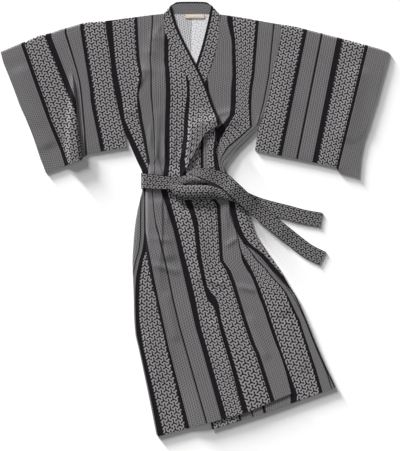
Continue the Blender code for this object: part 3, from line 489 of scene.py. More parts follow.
def belt_lift(x, y):
    """Lift over the belt's back run: full over its width, then a soft slope down."""
    (x0, y0), (x1, y1) = BELT_MIDDLE
    middle = y0 + (y1 - y0) * (np.clip(x, x0, x1) - x0) / (x1 - x0)
    past, slope = Lay.belt_past, Lay.belt_end_slope
    inside = soft((x - x0 + past) / slope) * soft((x1 + past - x) / slope)
    edge = np.abs(y - middle) - Lay.belt_width / 2.0 - Lay.belt_margin
    return Lay.belt_rise * inside * (1.0 - soft(edge / Lay.belt_slope))


def rise(x, y, layer, *tables):
    """Middle of a sheet: its layer, the belt under it and the ridges that lift it."""
    height = Lay.wall / 2.0 + Lay.floor_gap + Lay.layer * layer + belt_lift(x, y)
    for table in tables + (CREASES,):
        height = height + ridges(x, y, table)
    return height


def through(values, at):
    """Smooth curve through the rows of an array that never overshoots them.

    Between two rows it is a cubic. Its slope at a row is the harmonic mean of the
    steps on both sides, or 0 where they turn back.
    """
    step = np.diff(values, axis=0)
    both = step[:-1] * step[1:]
    total = step[:-1] + step[1:]
    turn = both <= 0.0
    mean = np.where(turn, 0.0, 2.0 * both / np.where(turn, 1.0, total))
    slope = np.concatenate([step[:1], mean, step[-1:]])
    low = np.clip(at.astype(int), 0, len(values) - 2)
    t = (at - low).reshape((-1,) + (1,) * (values.ndim - 1))
    return (values[low] * (1.0 + 2.0 * t) * (1.0 - t) ** 2 + values[low + 1] * t * t * (3.0 - 2.0 * t)
            + slope[low] * t * (1.0 - t) ** 2 - slope[low + 1] * t * t * (1.0 - t))


def stations(values, step, least):
    """Parameters of a curve through the rows, about one step apart.

    Each stretch between two rows is cut into equal parts, of which it has at least
    the number in least. Its length is the mean over the columns.
    """
    gaps = np.diff(values[..., :2], axis=0)
    length = np.sqrt((gaps ** 2).sum(axis=-1)).reshape(len(gaps), -1).mean(axis=1)
    parts = np.maximum(np.round(length / step).astype(int), least)
    return np.concatenate([k + np.arange(n) / n for k, n in enumerate(parts)] + [[len(parts)]])


def crosswise(rows, step, least):
    """The rows of a grid made smooth from side to side."""
    turned = rows.transpose(1, 0, 2)
    return through(turned, stations(turned, step, least)).transpose(1, 0, 2)


def surface(columns, step, least=(1, 1)):
    """Fine grid through columns of anchor points: a curve down each, then across."""
    anchors = np.stack(columns, axis=1)
    return crosswise(through(anchors, stations(anchors, step, least[0])), step, least[1])


def place(grid, *tables):
    """A grid of x, y, layer as points in space, lifted by the ridges of the tables."""
    x, y = grid[..., 0], grid[..., 1]
    return np.stack([x, y, rise(x, y, grid[..., 2], *tables)], axis=2)


def pull_in(points, edge, gap=0.25):
    """Draw one edge column in, towards its neighbour, by half a seam gap."""
    inner = 1 if edge == 0 else edge - 1
    way = points[:, inner, :2] - points[:, edge, :2]
    length = np.maximum(np.linalg.norm(way, axis=1, keepdims=True), 1e-6)
    points[:, edge, :2] += way / length * np.minimum(gap, length * 0.5)
    return points


def between_lines(x, y, lines):
    """Measure across the cloth: even between two neighbouring lines, true outside."""
    measures = sorted(lines)
    drawn = [np.array(lines[measure], float) for measure in measures]
    at = [np.interp(-y, -line[:, 1], line[:, 0]) for line in drawn]
    sign = -1.0 if at[0].mean() > at[-1].mean() else 1.0
    total = measures[0] + np.minimum(sign * (x - at[0]), 0.0)
    for k in range(len(measures) - 1):
        share = np.clip((x - at[k]) / (at[k + 1] - at[k]), 0.0, 1.0)
        total = total + share * (measures[k + 1] - measures[k])
    return total + np.maximum(sign * (x - at[-1]), 0.0)


def walked(points, axis, values=2):
    """Distance walked along an axis of a grid: over x and y, or over all 3 values."""
    step = np.linalg.norm(np.diff(points[..., :values], axis=axis), axis=-1)
    first = np.zeros_like(step[:1] if axis == 0 else step[:, :1])
    return np.cumsum(np.concatenate([first, step], axis=axis), axis=axis)


def lengthwise(points):
    """Distance down the cloth, the same over each row; the skirt is drawn out a little."""
    step = np.linalg.norm(np.diff(points[..., :2], axis=0), axis=-1).mean(axis=1)
    step *= np.where(points[1:, :, 1].mean(axis=1) < Lay.skirt_top, Lay.skirt_drawn, 1.0)
    down = np.concatenate([[0.0], np.cumsum(step)])
    return np.repeat(down[:, None], points.shape[1], axis=1)


def panel(points, across, gap=0.25):
    """A panel's points, drawn in at both side seams, and its measures."""
    measures = np.stack([across, lengthwise(points)], axis=2)
    return pull_in(pull_in(points, 0), points.shape[1] - 1, gap), measures


def tuck(rise_share, depth):
    """Columns of a Z fold as offsets from its edge, each with its lift in layers.

    The lower ply runs to the fold's depth, the middle ply comes back to its edge and
    the upper ply goes over both. Where the fold has died out, they lie side by side.
    """
    flat = 1.0 - rise_share
    laid, wide = np.minimum(depth / 10.0, 1.0), np.maximum(depth, 3.0)
    offsets = (-9.0 * flat + (depth - wide) * rise_share, -6.0 * flat + depth,
               -4.5 * flat + depth, -3.0 * flat, -1.5 * flat, wide * rise_share,
               wide * rise_share + 4.5 + 1.5 * flat)
    lifts = (0.0, 0.0, rise_share * (0.7 + 0.3 * laid),
             rise_share * (1.3 - 0.3 * laid), 2.0 * rise_share, 2.0 * rise_share,
             rise_share * (1.6 + 0.35 * laid))
    return list(zip(offsets, lifts))


def side_line(table, back_table, turn, side):
    """Side edge of a front, with its layers.

    Down to the turn it lies on the back's fold, and below it beside the back's turned
    edge, so it is drawn in by that edge's width.
    """
    rows = np.arange(len(table))
    line, fold = table[:, 0:2].copy(), np.array(back_table, float)[:, 0]
    turned = np.maximum(np.abs(line[:, 0] - fold), Lay.turned_least)
    line[:, 0] = fold - side * np.select([rows < turn, rows == turn], [0.0, Lay.turn_inward], turned)
    full = (rows < ARMHOLE_ROW) | (rows == turn - 1) | (rows > turn)
    layer = np.select([rows == 0, rows == ARMHOLE_ROW, rows == turn, full],
                      [Lay.pressed, (Lay.left_front + Lay.pressed) / 2.0,
                       Lay.left_front + Lay.turn_lift, Lay.left_front], Lay.pressed)
    return line, layer


def right_layers():
    """Layers of the right front at the collar's seam and at its free edge.

    Both start on the shoulder's sewn edge and climb in the first rows.
    """
    rows = len(RIGHT_PANEL)
    seam, free = np.full(rows, Lay.front), np.full(rows, Lay.front)
    seam[:5] = (Lay.pressed, 1.0, 1.0, 1.4, 1.8)
    free[:4] = (Lay.pressed, 1.0, 1.4, Lay.front)
    return seam, free


def front_right_grid(step):
    """Right front: from the side seam through the tuck to the inner edge.

    Column 5 of the anchors is the tuck's edge: what comes before it is the cloth
    below, and its stripes are measured on their own.
    """
    table = np.array(RIGHT_PANEL, float)
    inner, edge, rises, depth = table[:, 5:7], table[:, 2], table[:, 3], table[:, 4]
    side, side_layer = side_line(table, BACK_RIGHT, RIGHT_TURN_ROW, -1)
    inner_layer, _ = right_layers()
    left = np.array(LEFT_PANEL, float)[::-1]
    free_edge = np.interp(table[:, 1], left[:, 7], left[:, 6])
    over = np.clip(free_edge - Lay.down_before, edge + depth + Lay.past_tuck,
                   inner[:, 0] - Lay.seam_clear)
    slope = (inner[:, 1] - side[:, 1]) / (inner[:, 0] - side[:, 0])

    def at(x, layer, is_below):
        y = side[:, 1] + slope * (x - side[:, 0])
        return np.column_stack([x, y, layer, np.full(len(table), is_below)])

    base = np.full(len(table), Lay.left_front)
    base[0] = Lay.pressed
    columns = [at(side[:, 0], side_layer, 1.0)]
    for k, (offset, lift) in enumerate(tuck(rises, depth)):
        columns.append(at(edge + offset, base + lift, float(k < 4)))
    columns += [at(over, inner_layer, 0.0),
                np.column_stack([inner, inner_layer, np.zeros(len(table))])]
    grid = surface(columns, step, (1, 2))
    x, y = grid[..., 0], grid[..., 1]
    across = np.where(grid[..., 3] > 0.5, between_lines(x, y, FRONT_RIGHT_UNDER),
                      between_lines(x, y, FRONT_RIGHT))
    return panel(place(grid, BROAD_LEFT, BROAD_RIGHT), across)


def front_left_grid(step):
    """Left front: from the side seam to the collar's or the overlap's seam."""
    table = np.array(LEFT_PANEL, float)
    side, side_layer = side_line(table, BACK_LEFT, LEFT_TURN_ROW, 1)
    layer = np.full((len(table), 1), Lay.left_front)
    layer[0] = Lay.pressed
    near = side + (table[:, 2:4] - side) * Lay.near_side
    grid = surface([np.column_stack([side, side_layer]), np.hstack([near, layer]),
                    np.hstack([table[:, 2:4], layer])], step)
    return panel(place(grid, BROAD_LEFT), between_lines(grid[..., 0], grid[..., 1], FRONT_LEFT))


def back_grid(step, table, front, neck, turn, side):
    """Back half: flat, its side edge turned to the front below the waist.

    Four columns make the fold at the side. Above the turn they lie flat, in its row
    they stand up, and below it the first two lie on the front's layer.
    """
    table, front = np.array(table, float), np.array(front, float)
    rows = np.arange(len(table))
    fold, centre = table[:, 0:2].copy(), table[:, 2:4]
    short = (fold[-1, 1] - fold[-2, 1]) / (front[-1, 1] - front[-2, 1])
    fold[-1, 0] = fold[-2, 0] + (fold[-1, 0] - fold[-2, 0]) * short
    wrap = np.abs(np.interp(fold[:, 1], front[::-1, 1], front[::-1, 0]) - fold[:, 0])
    middle = centre + (fold - centre) * Lay.side_share
    middle[0] = neck

    def column(inward, layers):
        """Inward from the fold and layer: above the turn, in its row, and below it."""
        inward, layer = [np.select([rows < turn, rows == turn], values[:2], values[2])
                         for values in (inward, layers)]
        return np.column_stack([fold[:, 0] - side * inward, fold[:, 1], layer])

    columns = [column((0.0, 0.8, wrap), (0.0, 1.1, Lay.left_front)),
               column((1.6, 0.7, 1.2), (0.0, 0.7, Lay.left_front)),
               column((3.0, 0.7, 0.0), (0.0, 0.2, 0.5)),
               column((5.0, 3.2, 1.3), (0.0, 0.0, 0.0)),
               np.column_stack([middle, 0.0 * rows]),
               np.column_stack([centre, 0.0 * rows])]
    points = place(surface(columns, step, (1, 2)))
    return panel(points, walked(points, 1), Lay.centre_gap)


def right_overlap_anchors():
    """Anchors of the right overlap and of the right half of the collar.

    Above the belt the cloth hangs over itself: the rows come down to an edge, go
    back under it and down again. The last value tells the cloth below the edge.
    """
    table = np.array(RIGHT_PANEL, float)
    seam, collar_seam, free = table[:, 5:7], table[:, 7:9], table[:, 9:11]
    seam_layer, free_layer = right_layers()
    tip_row, edge, crease = OVERLAP_TIP_ROW, OVERHANG_ROW, OVERHANG_ROW + 1
    share = np.array((0.0, 0.18, 0.36, 0.58, 0.8, 1.0))
    rises = soft(share / Lay.hung_share)
    depth = np.clip((share - Lay.hung_share) / (1.0 - Lay.hung_share), 0.0, 1.0)
    lifted = {edge - 4: 0.35, edge - 3: 1.0, edge - 2: 1.05, edge - 1: 1.0}     # share by row

    def row(points, layers, is_below):
        return np.column_stack([points, layers, np.full(len(share), float(is_below))])

    below_tip = np.stack([seam[tip_row + 1], collar_seam[tip_row + 1]])
    tip = seam[tip_row] + Lay.tip_share * (below_tip - seam[tip_row])
    overlap = [row(tip[0] + np.outer(share, tip[1] - tip[0]), Lay.tip_layer + 0.0 * share, False)]
    for r in range(tip_row + 1, len(table)):
        end = collar_seam[r] if r <= COLLAR_END_RIGHT else free[r]
        points = seam[r] + np.outer(share, end - seam[r])
        if r == edge:
            way = np.outer(depth, collar_seam[crease] - collar_seam[edge])
            down = np.outer(1.0 - rises, (0.0, -2.0))
            lifts = (2.0 * rises, rises * (1.3 - 0.3 * depth), rises * (0.7 + 0.3 * depth),
                     0.0 * rises)
            moves = (0.0 * way, down, way + 2.0 * down, way + 3.0 * down)
            for k, (move, lift) in enumerate(zip(moves, lifts)):
                overlap.append(row(points + move, Lay.front + lift, k > 1))
        elif r != crease:
            overlap.append(row(points, Lay.front + 2.0 * lifted.get(r, 0.0) * rises, r > crease))
    collar = []
    for r in range(COLLAR_END_RIGHT + 1):
        ends, layers = np.stack([collar_seam[r], free[r]]), np.array((seam_layer[r], free_layer[r]))
        if r == edge:
            back_ends = np.stack([collar_seam[crease], free[crease]])
            for places, lift in ((ends, 2.0), (ends, 1.0), (back_ends, 1.0), (back_ends, 0.0)):
                collar.append(np.column_stack([places, layers + lift]))
        elif r != crease:
            lift = 2.0 * lifted.get(r, 0.0) * np.array((1.0, 1.15 if r < edge - 1 else 1.0))
            collar.append(np.column_stack([ends, layers + lift]))
    return np.stack(overlap), np.stack(collar)


def overlap_right_grid(step):
    """Right overlap, from its tip at the collar over the overhang down to the hem."""
    anchors, _ = right_overlap_anchors()
    grid = surface(anchors.transpose(1, 0, 2), step, (2, 1))
    x, y = grid[..., 0], grid[..., 1]
    across = np.where(grid[..., 3] > 0.5, between_lines(x, y, OVERLAP_RIGHT_UNDER),
                      between_lines(x, y, OVERLAP_RIGHT))
    return panel(place(grid, BROAD_LEFT, BROAD_RIGHT), across)


def overlap_left_grid(step):
    """Left overlap, from its tip at the collar down to the hem."""
    table = np.array(LEFT_PANEL, float)[OVERLAP_TIP_ROW:]
    seam, collar_seam, free = table[:, 2:4].copy(), table[:, 4:6].copy(), table[:, 6:8]
    for line in (seam, collar_seam):
        line[0] += Lay.tip_share * (line[1] - line[0])
    beside_collar = np.arange(len(table))[:, None] <= COLLAR_END_LEFT - OVERLAP_TIP_ROW
    inner = np.where(beside_collar, collar_seam, free)
    layer = np.full((len(table), 1), Lay.left_front)
    points = place(surface([np.hstack([seam, layer]), np.hstack([inner, layer])], step), BROAD_LEFT)
    return panel(points, walked(points, 1))


def collar_grid(step):
    """One band: up the right front, round the back of the neck, down the left.

    At each side of the neck the band turns over onto itself, so that behind the neck
    its outer side lies down and its free edge is up.
    """
    _, right = right_overlap_anchors()
    table = np.array(LEFT_PANEL, float)[:COLLAR_END_LEFT + 1]
    layers = np.full((len(table), 1), Lay.left_front)
    left = np.stack([np.hstack([table[:, 4:6], layers]), np.hstack([table[:, 6:8], layers])], axis=1)
    halves = []
    for half, tables in ((right, (BROAD_LEFT, BROAD_RIGHT)), (left, (BROAD_LEFT,))):
        middle = half.mean(axis=1, keepdims=True)
        half = np.concatenate([half[:, :1], middle, half[:, 1:]], axis=1)
        fine = place(through(half, stations(half, step, 2)), *tables)
        for k, share in enumerate(Lay.neck_inset):
            fine[0, k, :2] += (fine[0, -1, :2] - fine[0, k, :2]) * share
        first = soft(np.arange(len(fine)) / Lay.neck_rows)[:, None]
        fine[..., 2] = fine[..., 2] * first + Lay.neck_high * (1.0 - first)
        turned = fine[:1].copy()
        turned[..., 2] = Lay.neck_low
        halves.append(np.concatenate([turned, fine]))
    back, seam_y = [], NECK_RIGHT[1] + 1.0
    for x in COLLAR_BACK_X:
        free_y = COLLAR_TOP - COLLAR_DROP * ((x - COLLAR_MIDDLE) / COLLAR_HALF) ** 4
        back.append([(x, y, Lay.folded) for y in (seam_y, (seam_y + free_y) / 2.0, free_y)])
    right, left = halves
    ends = np.concatenate([right[:1], np.array(back), left[:1]])
    neck = through(ends, stations(ends, step, 2))
    rows = np.concatenate([right[:0:-1], neck, left[1:]])
    points = crosswise(rows, step * 0.8, 3)
    middle = points.shape[1] // 2
    down = walked(points[:, middle:middle + 1], 0)
    wide = walked(points, 1)
    measures = np.stack([wide[:, -1:] - wide, np.repeat(down, points.shape[1], axis=1)], axis=2)
    return pull_in(points, 0), measures


def bowed(grid, bow):
    """A sleeve's sections with their shoulder fold bowed up, fading downwards."""
    x, bow_rise = np.array(bow, float).T
    low, high = BOW_FADES
    share = np.clip((grid[..., 1] - low) / (high - low), 0.0, 1.0)
    grid[..., 1] += np.interp(grid[..., 0], x, bow_rise) * share
    return grid


def tucked_row(start, tuck_values, base, at_bottom):
    """A sleeve's row between cuff and armhole with its tuck: upper ply, then under ply.

    Each anchor is x, y, layer and whether it is on the armhole's side of the fold.
    """
    edge_x, edge_y, share, depth = tuck_values
    slope = (edge_y - start[1]) / (edge_x - start[0])
    raised_edge, raised = TUCK_BOTTOM_RAISED if at_bottom else (0.0, 2.0)
    before = edge_x - depth - Lay.before_tuck
    before_y = start[1] + slope * (before - start[0])
    after = (edge_x + Lay.past_tuck, edge_y + raised)
    over, flat = [(before, before_y, base, 0.0)], [(before, before_y, 0.0, 0.0)]
    for k, (offset, lift) in enumerate(reversed(tuck(share, float(depth)))):
        x = edge_x - offset
        y = edge_y + (slope * (x - edge_x) if k < 3 else raised_edge * (k > 3))
        over.append((x, y, base + lift, float(k > 3)))
    for k, (offset, _) in enumerate(reversed(tuck(0.0, 0.0))):
        flat.append((edge_x - offset, edge_y + (raised if k > 5 else 0.0) * share, 0.0, 0.0))
    return over + [(*after, base, 1.0)], flat + [(*after, 0.0, 0.0)]


def stepped_row(start, end, share, base):
    """A sleeve's row without a tuck: its knee grows to the step in the bottom edge."""
    step_x, step_y, drop, run, at_top = SLEEVE_LEFT_STEP
    top = end + (start - end) * at_top
    knee = top + (np.array((step_x, step_y)) - top) * share
    near = (knee[0] + run, knee[1] - drop * share)
    return [[(*near, layer, 0.0), (*knee, layer, 0.0)] for layer in (base, 0.0)]


def sleeve_grid(step, cuff, armhole, ridge_tables, outer, inner, down_sign, bow):
    """Flat tube: the under ply up to the shoulder fold, then the upper ply down.

    Each row of both plies runs from the cuff to the armhole. Stripes are measured from
    the outer lines, and on the armhole's side of a tuck from the inner lines.
    """
    last = len(cuff) - 1
    under, upper = [], []
    for r, row in enumerate(cuff):
        start, end = np.array(row[0:2], float), np.array(armhole[r], float)
        base = Lay.pressed if r in (0, last) else Lay.left_front
        start_layer = Lay.pressed if r == 0 or r >= CUFF_SEWN_ROW else Lay.left_front
        if len(row) > 2:
            over, flat = tucked_row(start, row[2:6], base, r == last)
        else:
            over, flat = stepped_row(start, end, r / float(last), base)
        upper.append([(*start, start_layer, 0.0)] + over + [(*end, base, 1.0)])
        under.append([(*start, 0.0, 0.0)] + flat + [(*end, 0.0, 0.0)])
    under, upper = np.array(under, float), np.array(upper, float)
    rows, columns = stations(upper, step, 1), stations(upper.transpose(1, 0, 2), step, 2)
    plies = []
    for ply, tables in ((under, ()), (upper, ridge_tables)):
        grid = through(through(ply, rows).transpose(1, 0, 2), columns).transpose(1, 0, 2)
        points = place(bowed(grid, bow), *tables)
        x, y = points[..., 0], points[..., 1]
        across = between_lines(x, y, outer)
        if ply is upper and inner:
            across = np.where(grid[..., 3] > 0.5, between_lines(x, y, inner), across)
        down = walked(points, 0)
        plies.append((pull_in(points, points.shape[1] - 1), across, down))
    (below, below_across, below_down), (above, above_across, above_down) = plies
    below[0, :, :2] = above[0, :, :2]
    across = np.concatenate([below_across[::-1], above_across])
    down = np.concatenate([-below_down[::-1], above_down + Lay.round_fold]) * down_sign
    return np.concatenate([below[::-1], above]), np.stack([across, down], axis=2)


def band(points):
    """A band's points, and its measures across and along it; its rows cross it."""
    middle = points.shape[1] // 2
    down = walked(points[:, middle:middle + 1], 0, 3)
    wide = np.linspace(0.0, sum(width for width, _ in BANDS["belt"]), points.shape[1])
    return points, np.stack(np.broadcast_arrays(wide[None, :], down), axis=2)


def strip_grid(step, path):
    """A band laid along a middle line of x, y, width, height rows.

    Its points lie at right angles to the line, from half the width on one side to
    half the width on the other.
    """
    path = np.array(path, float)
    path = through(path, stations(path[:, None], step, 2))
    way = np.gradient(path[:, :2], axis=0)
    way /= np.linalg.norm(way, axis=1, keepdims=True)
    left = np.column_stack([-way[:, 1], way[:, 0]])
    offsets = np.linspace(-0.5, 0.5, 10)
    xy = path[:, None, :2] + left[:, None, :] * (path[:, 2][:, None] * offsets)[..., None]
    z = np.repeat(path[:, 3][:, None], len(offsets), axis=1)
    return band(np.concatenate([xy, z[..., None]], axis=2))


def belt_band_grid(step):
    """Belt round the waist: front run, turn round the side and back run.

    Each section is straight from its lower to its upper edge, and crowned by half a
    sine wave.
    """
    sections = BELT_FRONT[::-1] + BELT_FOLD
    (x0, y0), (x1, y1) = BELT_MIDDLE
    half = Lay.belt_width / 2.0
    for x in BELT_BACK_X:
        y = y0 + (y1 - y0) * (x - x0) / (x1 - x0)
        sections += ((x, y + half, y - half, Lay.folded, Lay.folded),)
    rows = np.array([[(x, lower + (upper - lower) * s, edge + (middle - edge) * np.sin(np.pi * s))
                      for s in np.linspace(0.0, 1.0, 9)]
                     for x, upper, lower, edge, middle in sections])
    return band(through(rows, stations(rows, step, 2)))


def knot_turn_grid(step):
    """Lower turn of the knot: an arch from the slit over to the lower edge."""
    rows = np.array([[(x, upper + (lower - upper) * share,
                       (above if share < 0.45 else below) * (1.0 - arched) + crest * arched)
                      for share, arched in KNOT_ARCH]
                     for x, upper, lower, above, crest, below in KNOT_TURN])
    return band(through(rows, stations(rows, step, 2)))


# ------------------------------------------------------------ shaders
TURN, SINE_60 = 6.2832, 0.8660254                # a whole turn in radians, sine of 60 degrees
# In metres: half the width over which a drawn edge turns from dark to light, the
# radii between which a dot of the grey stripes fades, the distance between their
# fine lines, and the label's rim, short and long, and the distance of its ribs.
SOFT_EDGE, DOT_RADII, FINE_LINES = 0.0003, (0.0009, 0.0024), 0.0046
LABEL_RIM, LABEL_RIBS = (0.0016, 0.0012), 0.0011
# How fine and how strong the cloth's uneven patches and flecks are, how dark the dots
# and the fine lines, and how much of each colour shows through on the undyed side.
PATCHES, FLECKS = (9.0, 0.22), (420.0, 0.70)
DOT_DEPTH, LINE_DEPTH, REVERSE_SHARES = 0.66, 0.26, (0.70, 0.88, 1.06)
# How much of the grey and of the pale an even shade shows; how high threads and pale
# lines rise beside a fleck; strength and depth in metres of the relief of each cloth
GREY_SHOWN, PALE_SHOWN, THREADS_RISE, LINES_RISE = 0.8, 0.9, 0.5, 0.6
COTTON_RELIEF, SATIN_RELIEF = (0.25, 0.0003), (0.3, 0.0002)
BLACK = (0.0, 0.0, 0.0, 1.0)


def operator(operation):
    """A Python operator that adds one Math node."""
    def add_node(value, *others):
        return value.maths(operation, value, *others)
    return add_node


class Value:
    """A number that varies over a surface. An expression on it adds Math nodes."""
    __add__ = __radd__ = operator('ADD')
    __mul__ = __rmul__ = operator('MULTIPLY')
    __sub__ = operator('SUBTRACT')
    __truediv__ = operator('DIVIDE')
    __lt__ = operator('LESS_THAN')
    __abs__ = operator('ABSOLUTE')

    def __init__(self, paint, socket):
        self.paint, self.socket = paint, socket

    def __rsub__(self, other):
        return self.maths('SUBTRACT', other, self)

    def maths(self, operation, *numbers):
        return self.paint.node('ShaderNodeMath', {"operation": operation}, dict(enumerate(numbers)))


class Paint:
    """The nodes of one material."""

    def __init__(self, name, roughness):
        self.material = bpy.data.materials.new(name)
        self.material.use_nodes = True
        self.tree = self.material.node_tree
        self.shader = self.tree.nodes["Principled BSDF"]
        self.shader.inputs["Roughness"].default_value = roughness
        self.shader.inputs["Specular IOR Level"].default_value = 0.06

    def node(self, kind, settings, inputs, output=0):
        """One node: its type, its settings, then the values or links of its sockets."""
        made = self.tree.nodes.new(kind)
        for key, value in settings.items():
            if key == "stops":
                self.set_stops(made.color_ramp, value)
            else:
                setattr(made, key, value)
        for key, value in inputs.items():
            self.feed(made.inputs[key], value)
        return Value(self, made.outputs[output])

    def feed(self, socket, value):
        if isinstance(value, Value):
            self.tree.links.new(value.socket, socket)
        else:
            socket.default_value = value

    def set_stops(self, ramp, stops):
        """Steps without a ramp between them: position, colour."""
        ramp.interpolation = 'CONSTANT'
        while len(ramp.elements) > 1:
            ramp.elements.remove(ramp.elements[0])
        ramp.elements[0].position, ramp.elements[0].color = stops[0]
        for position, colour in stops[1:]:
            ramp.elements.new(position).color = colour

    def mix(self, factor, first, second):
        """Colour between two colours."""
        return self.node('ShaderNodeMix', {"data_type": 'RGBA'}, {0: factor, 6: first, 7: second}, 2)

    def ramp(self, value, low, high):
        """0 at low, 1 at high and a smooth ramp between."""
        return self.node('ShaderNodeMapRange', {"interpolation_type": 'SMOOTHSTEP'},
                         {0: value, 1: low, 2: high, 3: 0.0, 4: 1.0})

    def noise(self, place, scale, detail=2.0):
        """Soft noise about 0.5."""
        return self.node('ShaderNodeTexNoise', {}, {"Vector": place, "Scale": scale, "Detail": detail})

    def cloth(self):
        """The cloth's own map, and its measures across and along in metres."""
        cloth = self.node('ShaderNodeUVMap', {"uv_map": "cloth"}, {})
        across = self.node('ShaderNodeSeparateXYZ', {}, {0: cloth})
        return cloth, across, Value(self, across.socket.node.outputs[1])

    def finish(self, colour, height, strength, distance):
        """Feed the shader its colour and its bump, and give the material."""
        self.feed(self.shader.inputs["Base Color"], colour)
        bump = self.node('ShaderNodeBump', {},
                         {"Strength": strength, "Distance": distance, "Height": height})
        self.feed(self.shader.inputs["Normal"], bump)
        return self.material


def nearest_middle(across, along, spacing):
    """Offset along and across from the nearest point of a lattice of equal triangles.

    The lattice is two grids of rectangles, one set half a cell over; the nearer of
    their two middles is taken.
    """
    wide, high = spacing / 2.0, spacing * SINE_60
    a_x = along.maths('WRAP', along, wide, -wide)
    a_y = across.maths('WRAP', across, high, -high)
    b_x = along.maths('WRAP', along - wide, wide, -wide)
    b_y = across.maths('WRAP', across - high, high, -high)
    near = (a_x * a_x + a_y * a_y) < (b_x * b_x + b_y * b_y)
    return b_x + (a_x - b_x) * near, b_y + (a_y - b_y) * near


def starry(paint, across, along, sizes):
    """Light lines between dark three-armed stars: 1 on a line, 0 on a star.

    A point is taken to the middle of the nearest star and mirrored. One arm points
    up the cloth and two point down it at 60 degrees; each has a thin neck and a round
    end, and the ends of three other stars' arms come in between them.
    """
    x, y = nearest_middle(across, along, sizes.stars)
    far = x * x + y * y
    sideways = abs(y) * SINE_60
    arm = x.maths('MAXIMUM', 0.0 - x, x * 0.5 + sideways)
    gap = x.maths('MAXIMUM', x, x * -0.5 + sideways)
    off = x.maths('SQRT', x.maths('MAXIMUM', far - arm * arm, 0.0))
    neck = off.maths('MAXIMUM', off - sizes.arm / 2.0, arm - sizes.reach)
    core = x.maths('SQRT', far) - sizes.core
    own = x.maths('SQRT', far - arm * (2.0 * sizes.reach) + sizes.reach ** 2)
    back = sizes.stars - sizes.reach
    other = x.maths('SQRT', far - gap * (2.0 * back) + back ** 2)
    knob = x.maths('MINIMUM', own, other) - sizes.knob
    edge = x.maths('MINIMUM', neck, x.maths('MINIMUM', core, knob))
    return paint.ramp(edge, -SOFT_EDGE, SOFT_EDGE)


def cotton(name, bands, sizes, colours, reverse=False):
    """Striped cotton: charcoal, grey with fine dots, and the pattern's pale lines.

    Steps in a ramp tell from the measure across which stripe a point is in. Patches
    and flecks of noise shade the cloth, and dots and fine lines darken the grey.
    """
    paint = Paint(name, 0.88)
    cloth, across, along = paint.cloth()
    total = sum(width for width, _ in bands)
    stops, at = [], 0.0
    for width, kind in bands:
        stops.append((at / total, (float(kind == GREY), float(kind == MOTIF), 0.0, 1.0)))
        at += width
    kinds = paint.node('ShaderNodeValToRGB', {"stops": stops}, {0: across / (total * MM)})
    parts = paint.node('ShaderNodeSeparateColor', {}, {0: kinds})
    in_grey, in_motif = parts, Value(paint, parts.socket.node.outputs[1])
    ground = starry(paint, across, along, sizes)
    x, y = nearest_middle(across, along, sizes.dots)
    dot = 1.0 - paint.ramp(x.maths('SQRT', x * x * 0.4 + y * y), *DOT_RADII)
    thread = across.maths('SINE', across * (TURN / FINE_LINES))
    patch = paint.noise(cloth, PATCHES[0])
    fleck = paint.noise(cloth, FLECKS[0], 1.0)
    shade = (patch - 0.5) * PATCHES[1] + (fleck - 0.5) * FLECKS[1] + 1.0
    grey_shade = shade * (1.0 - dot * DOT_DEPTH) * (thread * LINE_DEPTH + 1.0)
    pale = colours.sash if bands is BANDS["belt"] else colours.pale
    charcoal, grey, pale = (*colours.charcoal, 1.0), (*colours.grey, 1.0), (*pale, 1.0)
    if reverse:
        base = np.array(colours.reverse)
        charcoal, grey, pale = [(*(base * share), 1.0) for share in REVERSE_SHARES]
    grey_now = paint.mix(1.0 - grey_shade * GREY_SHOWN, grey, BLACK)
    pale_now = paint.mix(1.0 - shade * PALE_SHOWN, pale, BLACK)
    colour = paint.mix(in_grey, charcoal, grey_now)
    colour = paint.mix(in_motif * ground, colour, pale_now)
    warp = across.maths('SINE', across * (TURN / sizes.thread))
    weft = along.maths('SINE', along * (TURN / sizes.thread))
    height = warp * weft * THREADS_RISE + ground * in_motif * LINES_RISE + fleck
    return paint.finish(colour, height, *COTTON_RELIEF)


def label_satin(colours):
    """Satin label with a woven edge, left bare."""
    paint = Paint("label_satin", 0.6)
    _, across, along = paint.cloth()
    wide, high = LABEL_SIZE[0] * MM / 2.0, LABEL_SIZE[1] * MM / 2.0
    edge = abs(across - wide) - (wide - LABEL_RIM[0])
    edge_long = abs(along - high) - (high - LABEL_RIM[1])
    rim = paint.ramp(edge.maths('MAXIMUM', edge, edge_long), -SOFT_EDGE, SOFT_EDGE)
    rib = along.maths('SINE', along * (TURN / LABEL_RIBS))
    colour = np.array(colours.label)
    mixed = paint.mix(rim * 0.6 + rib * 0.06 + 0.1, (*colour, 1.0), (*(colour * 0.55), 1.0))
    return paint.finish(mixed, rib, *SATIN_RELIEF)


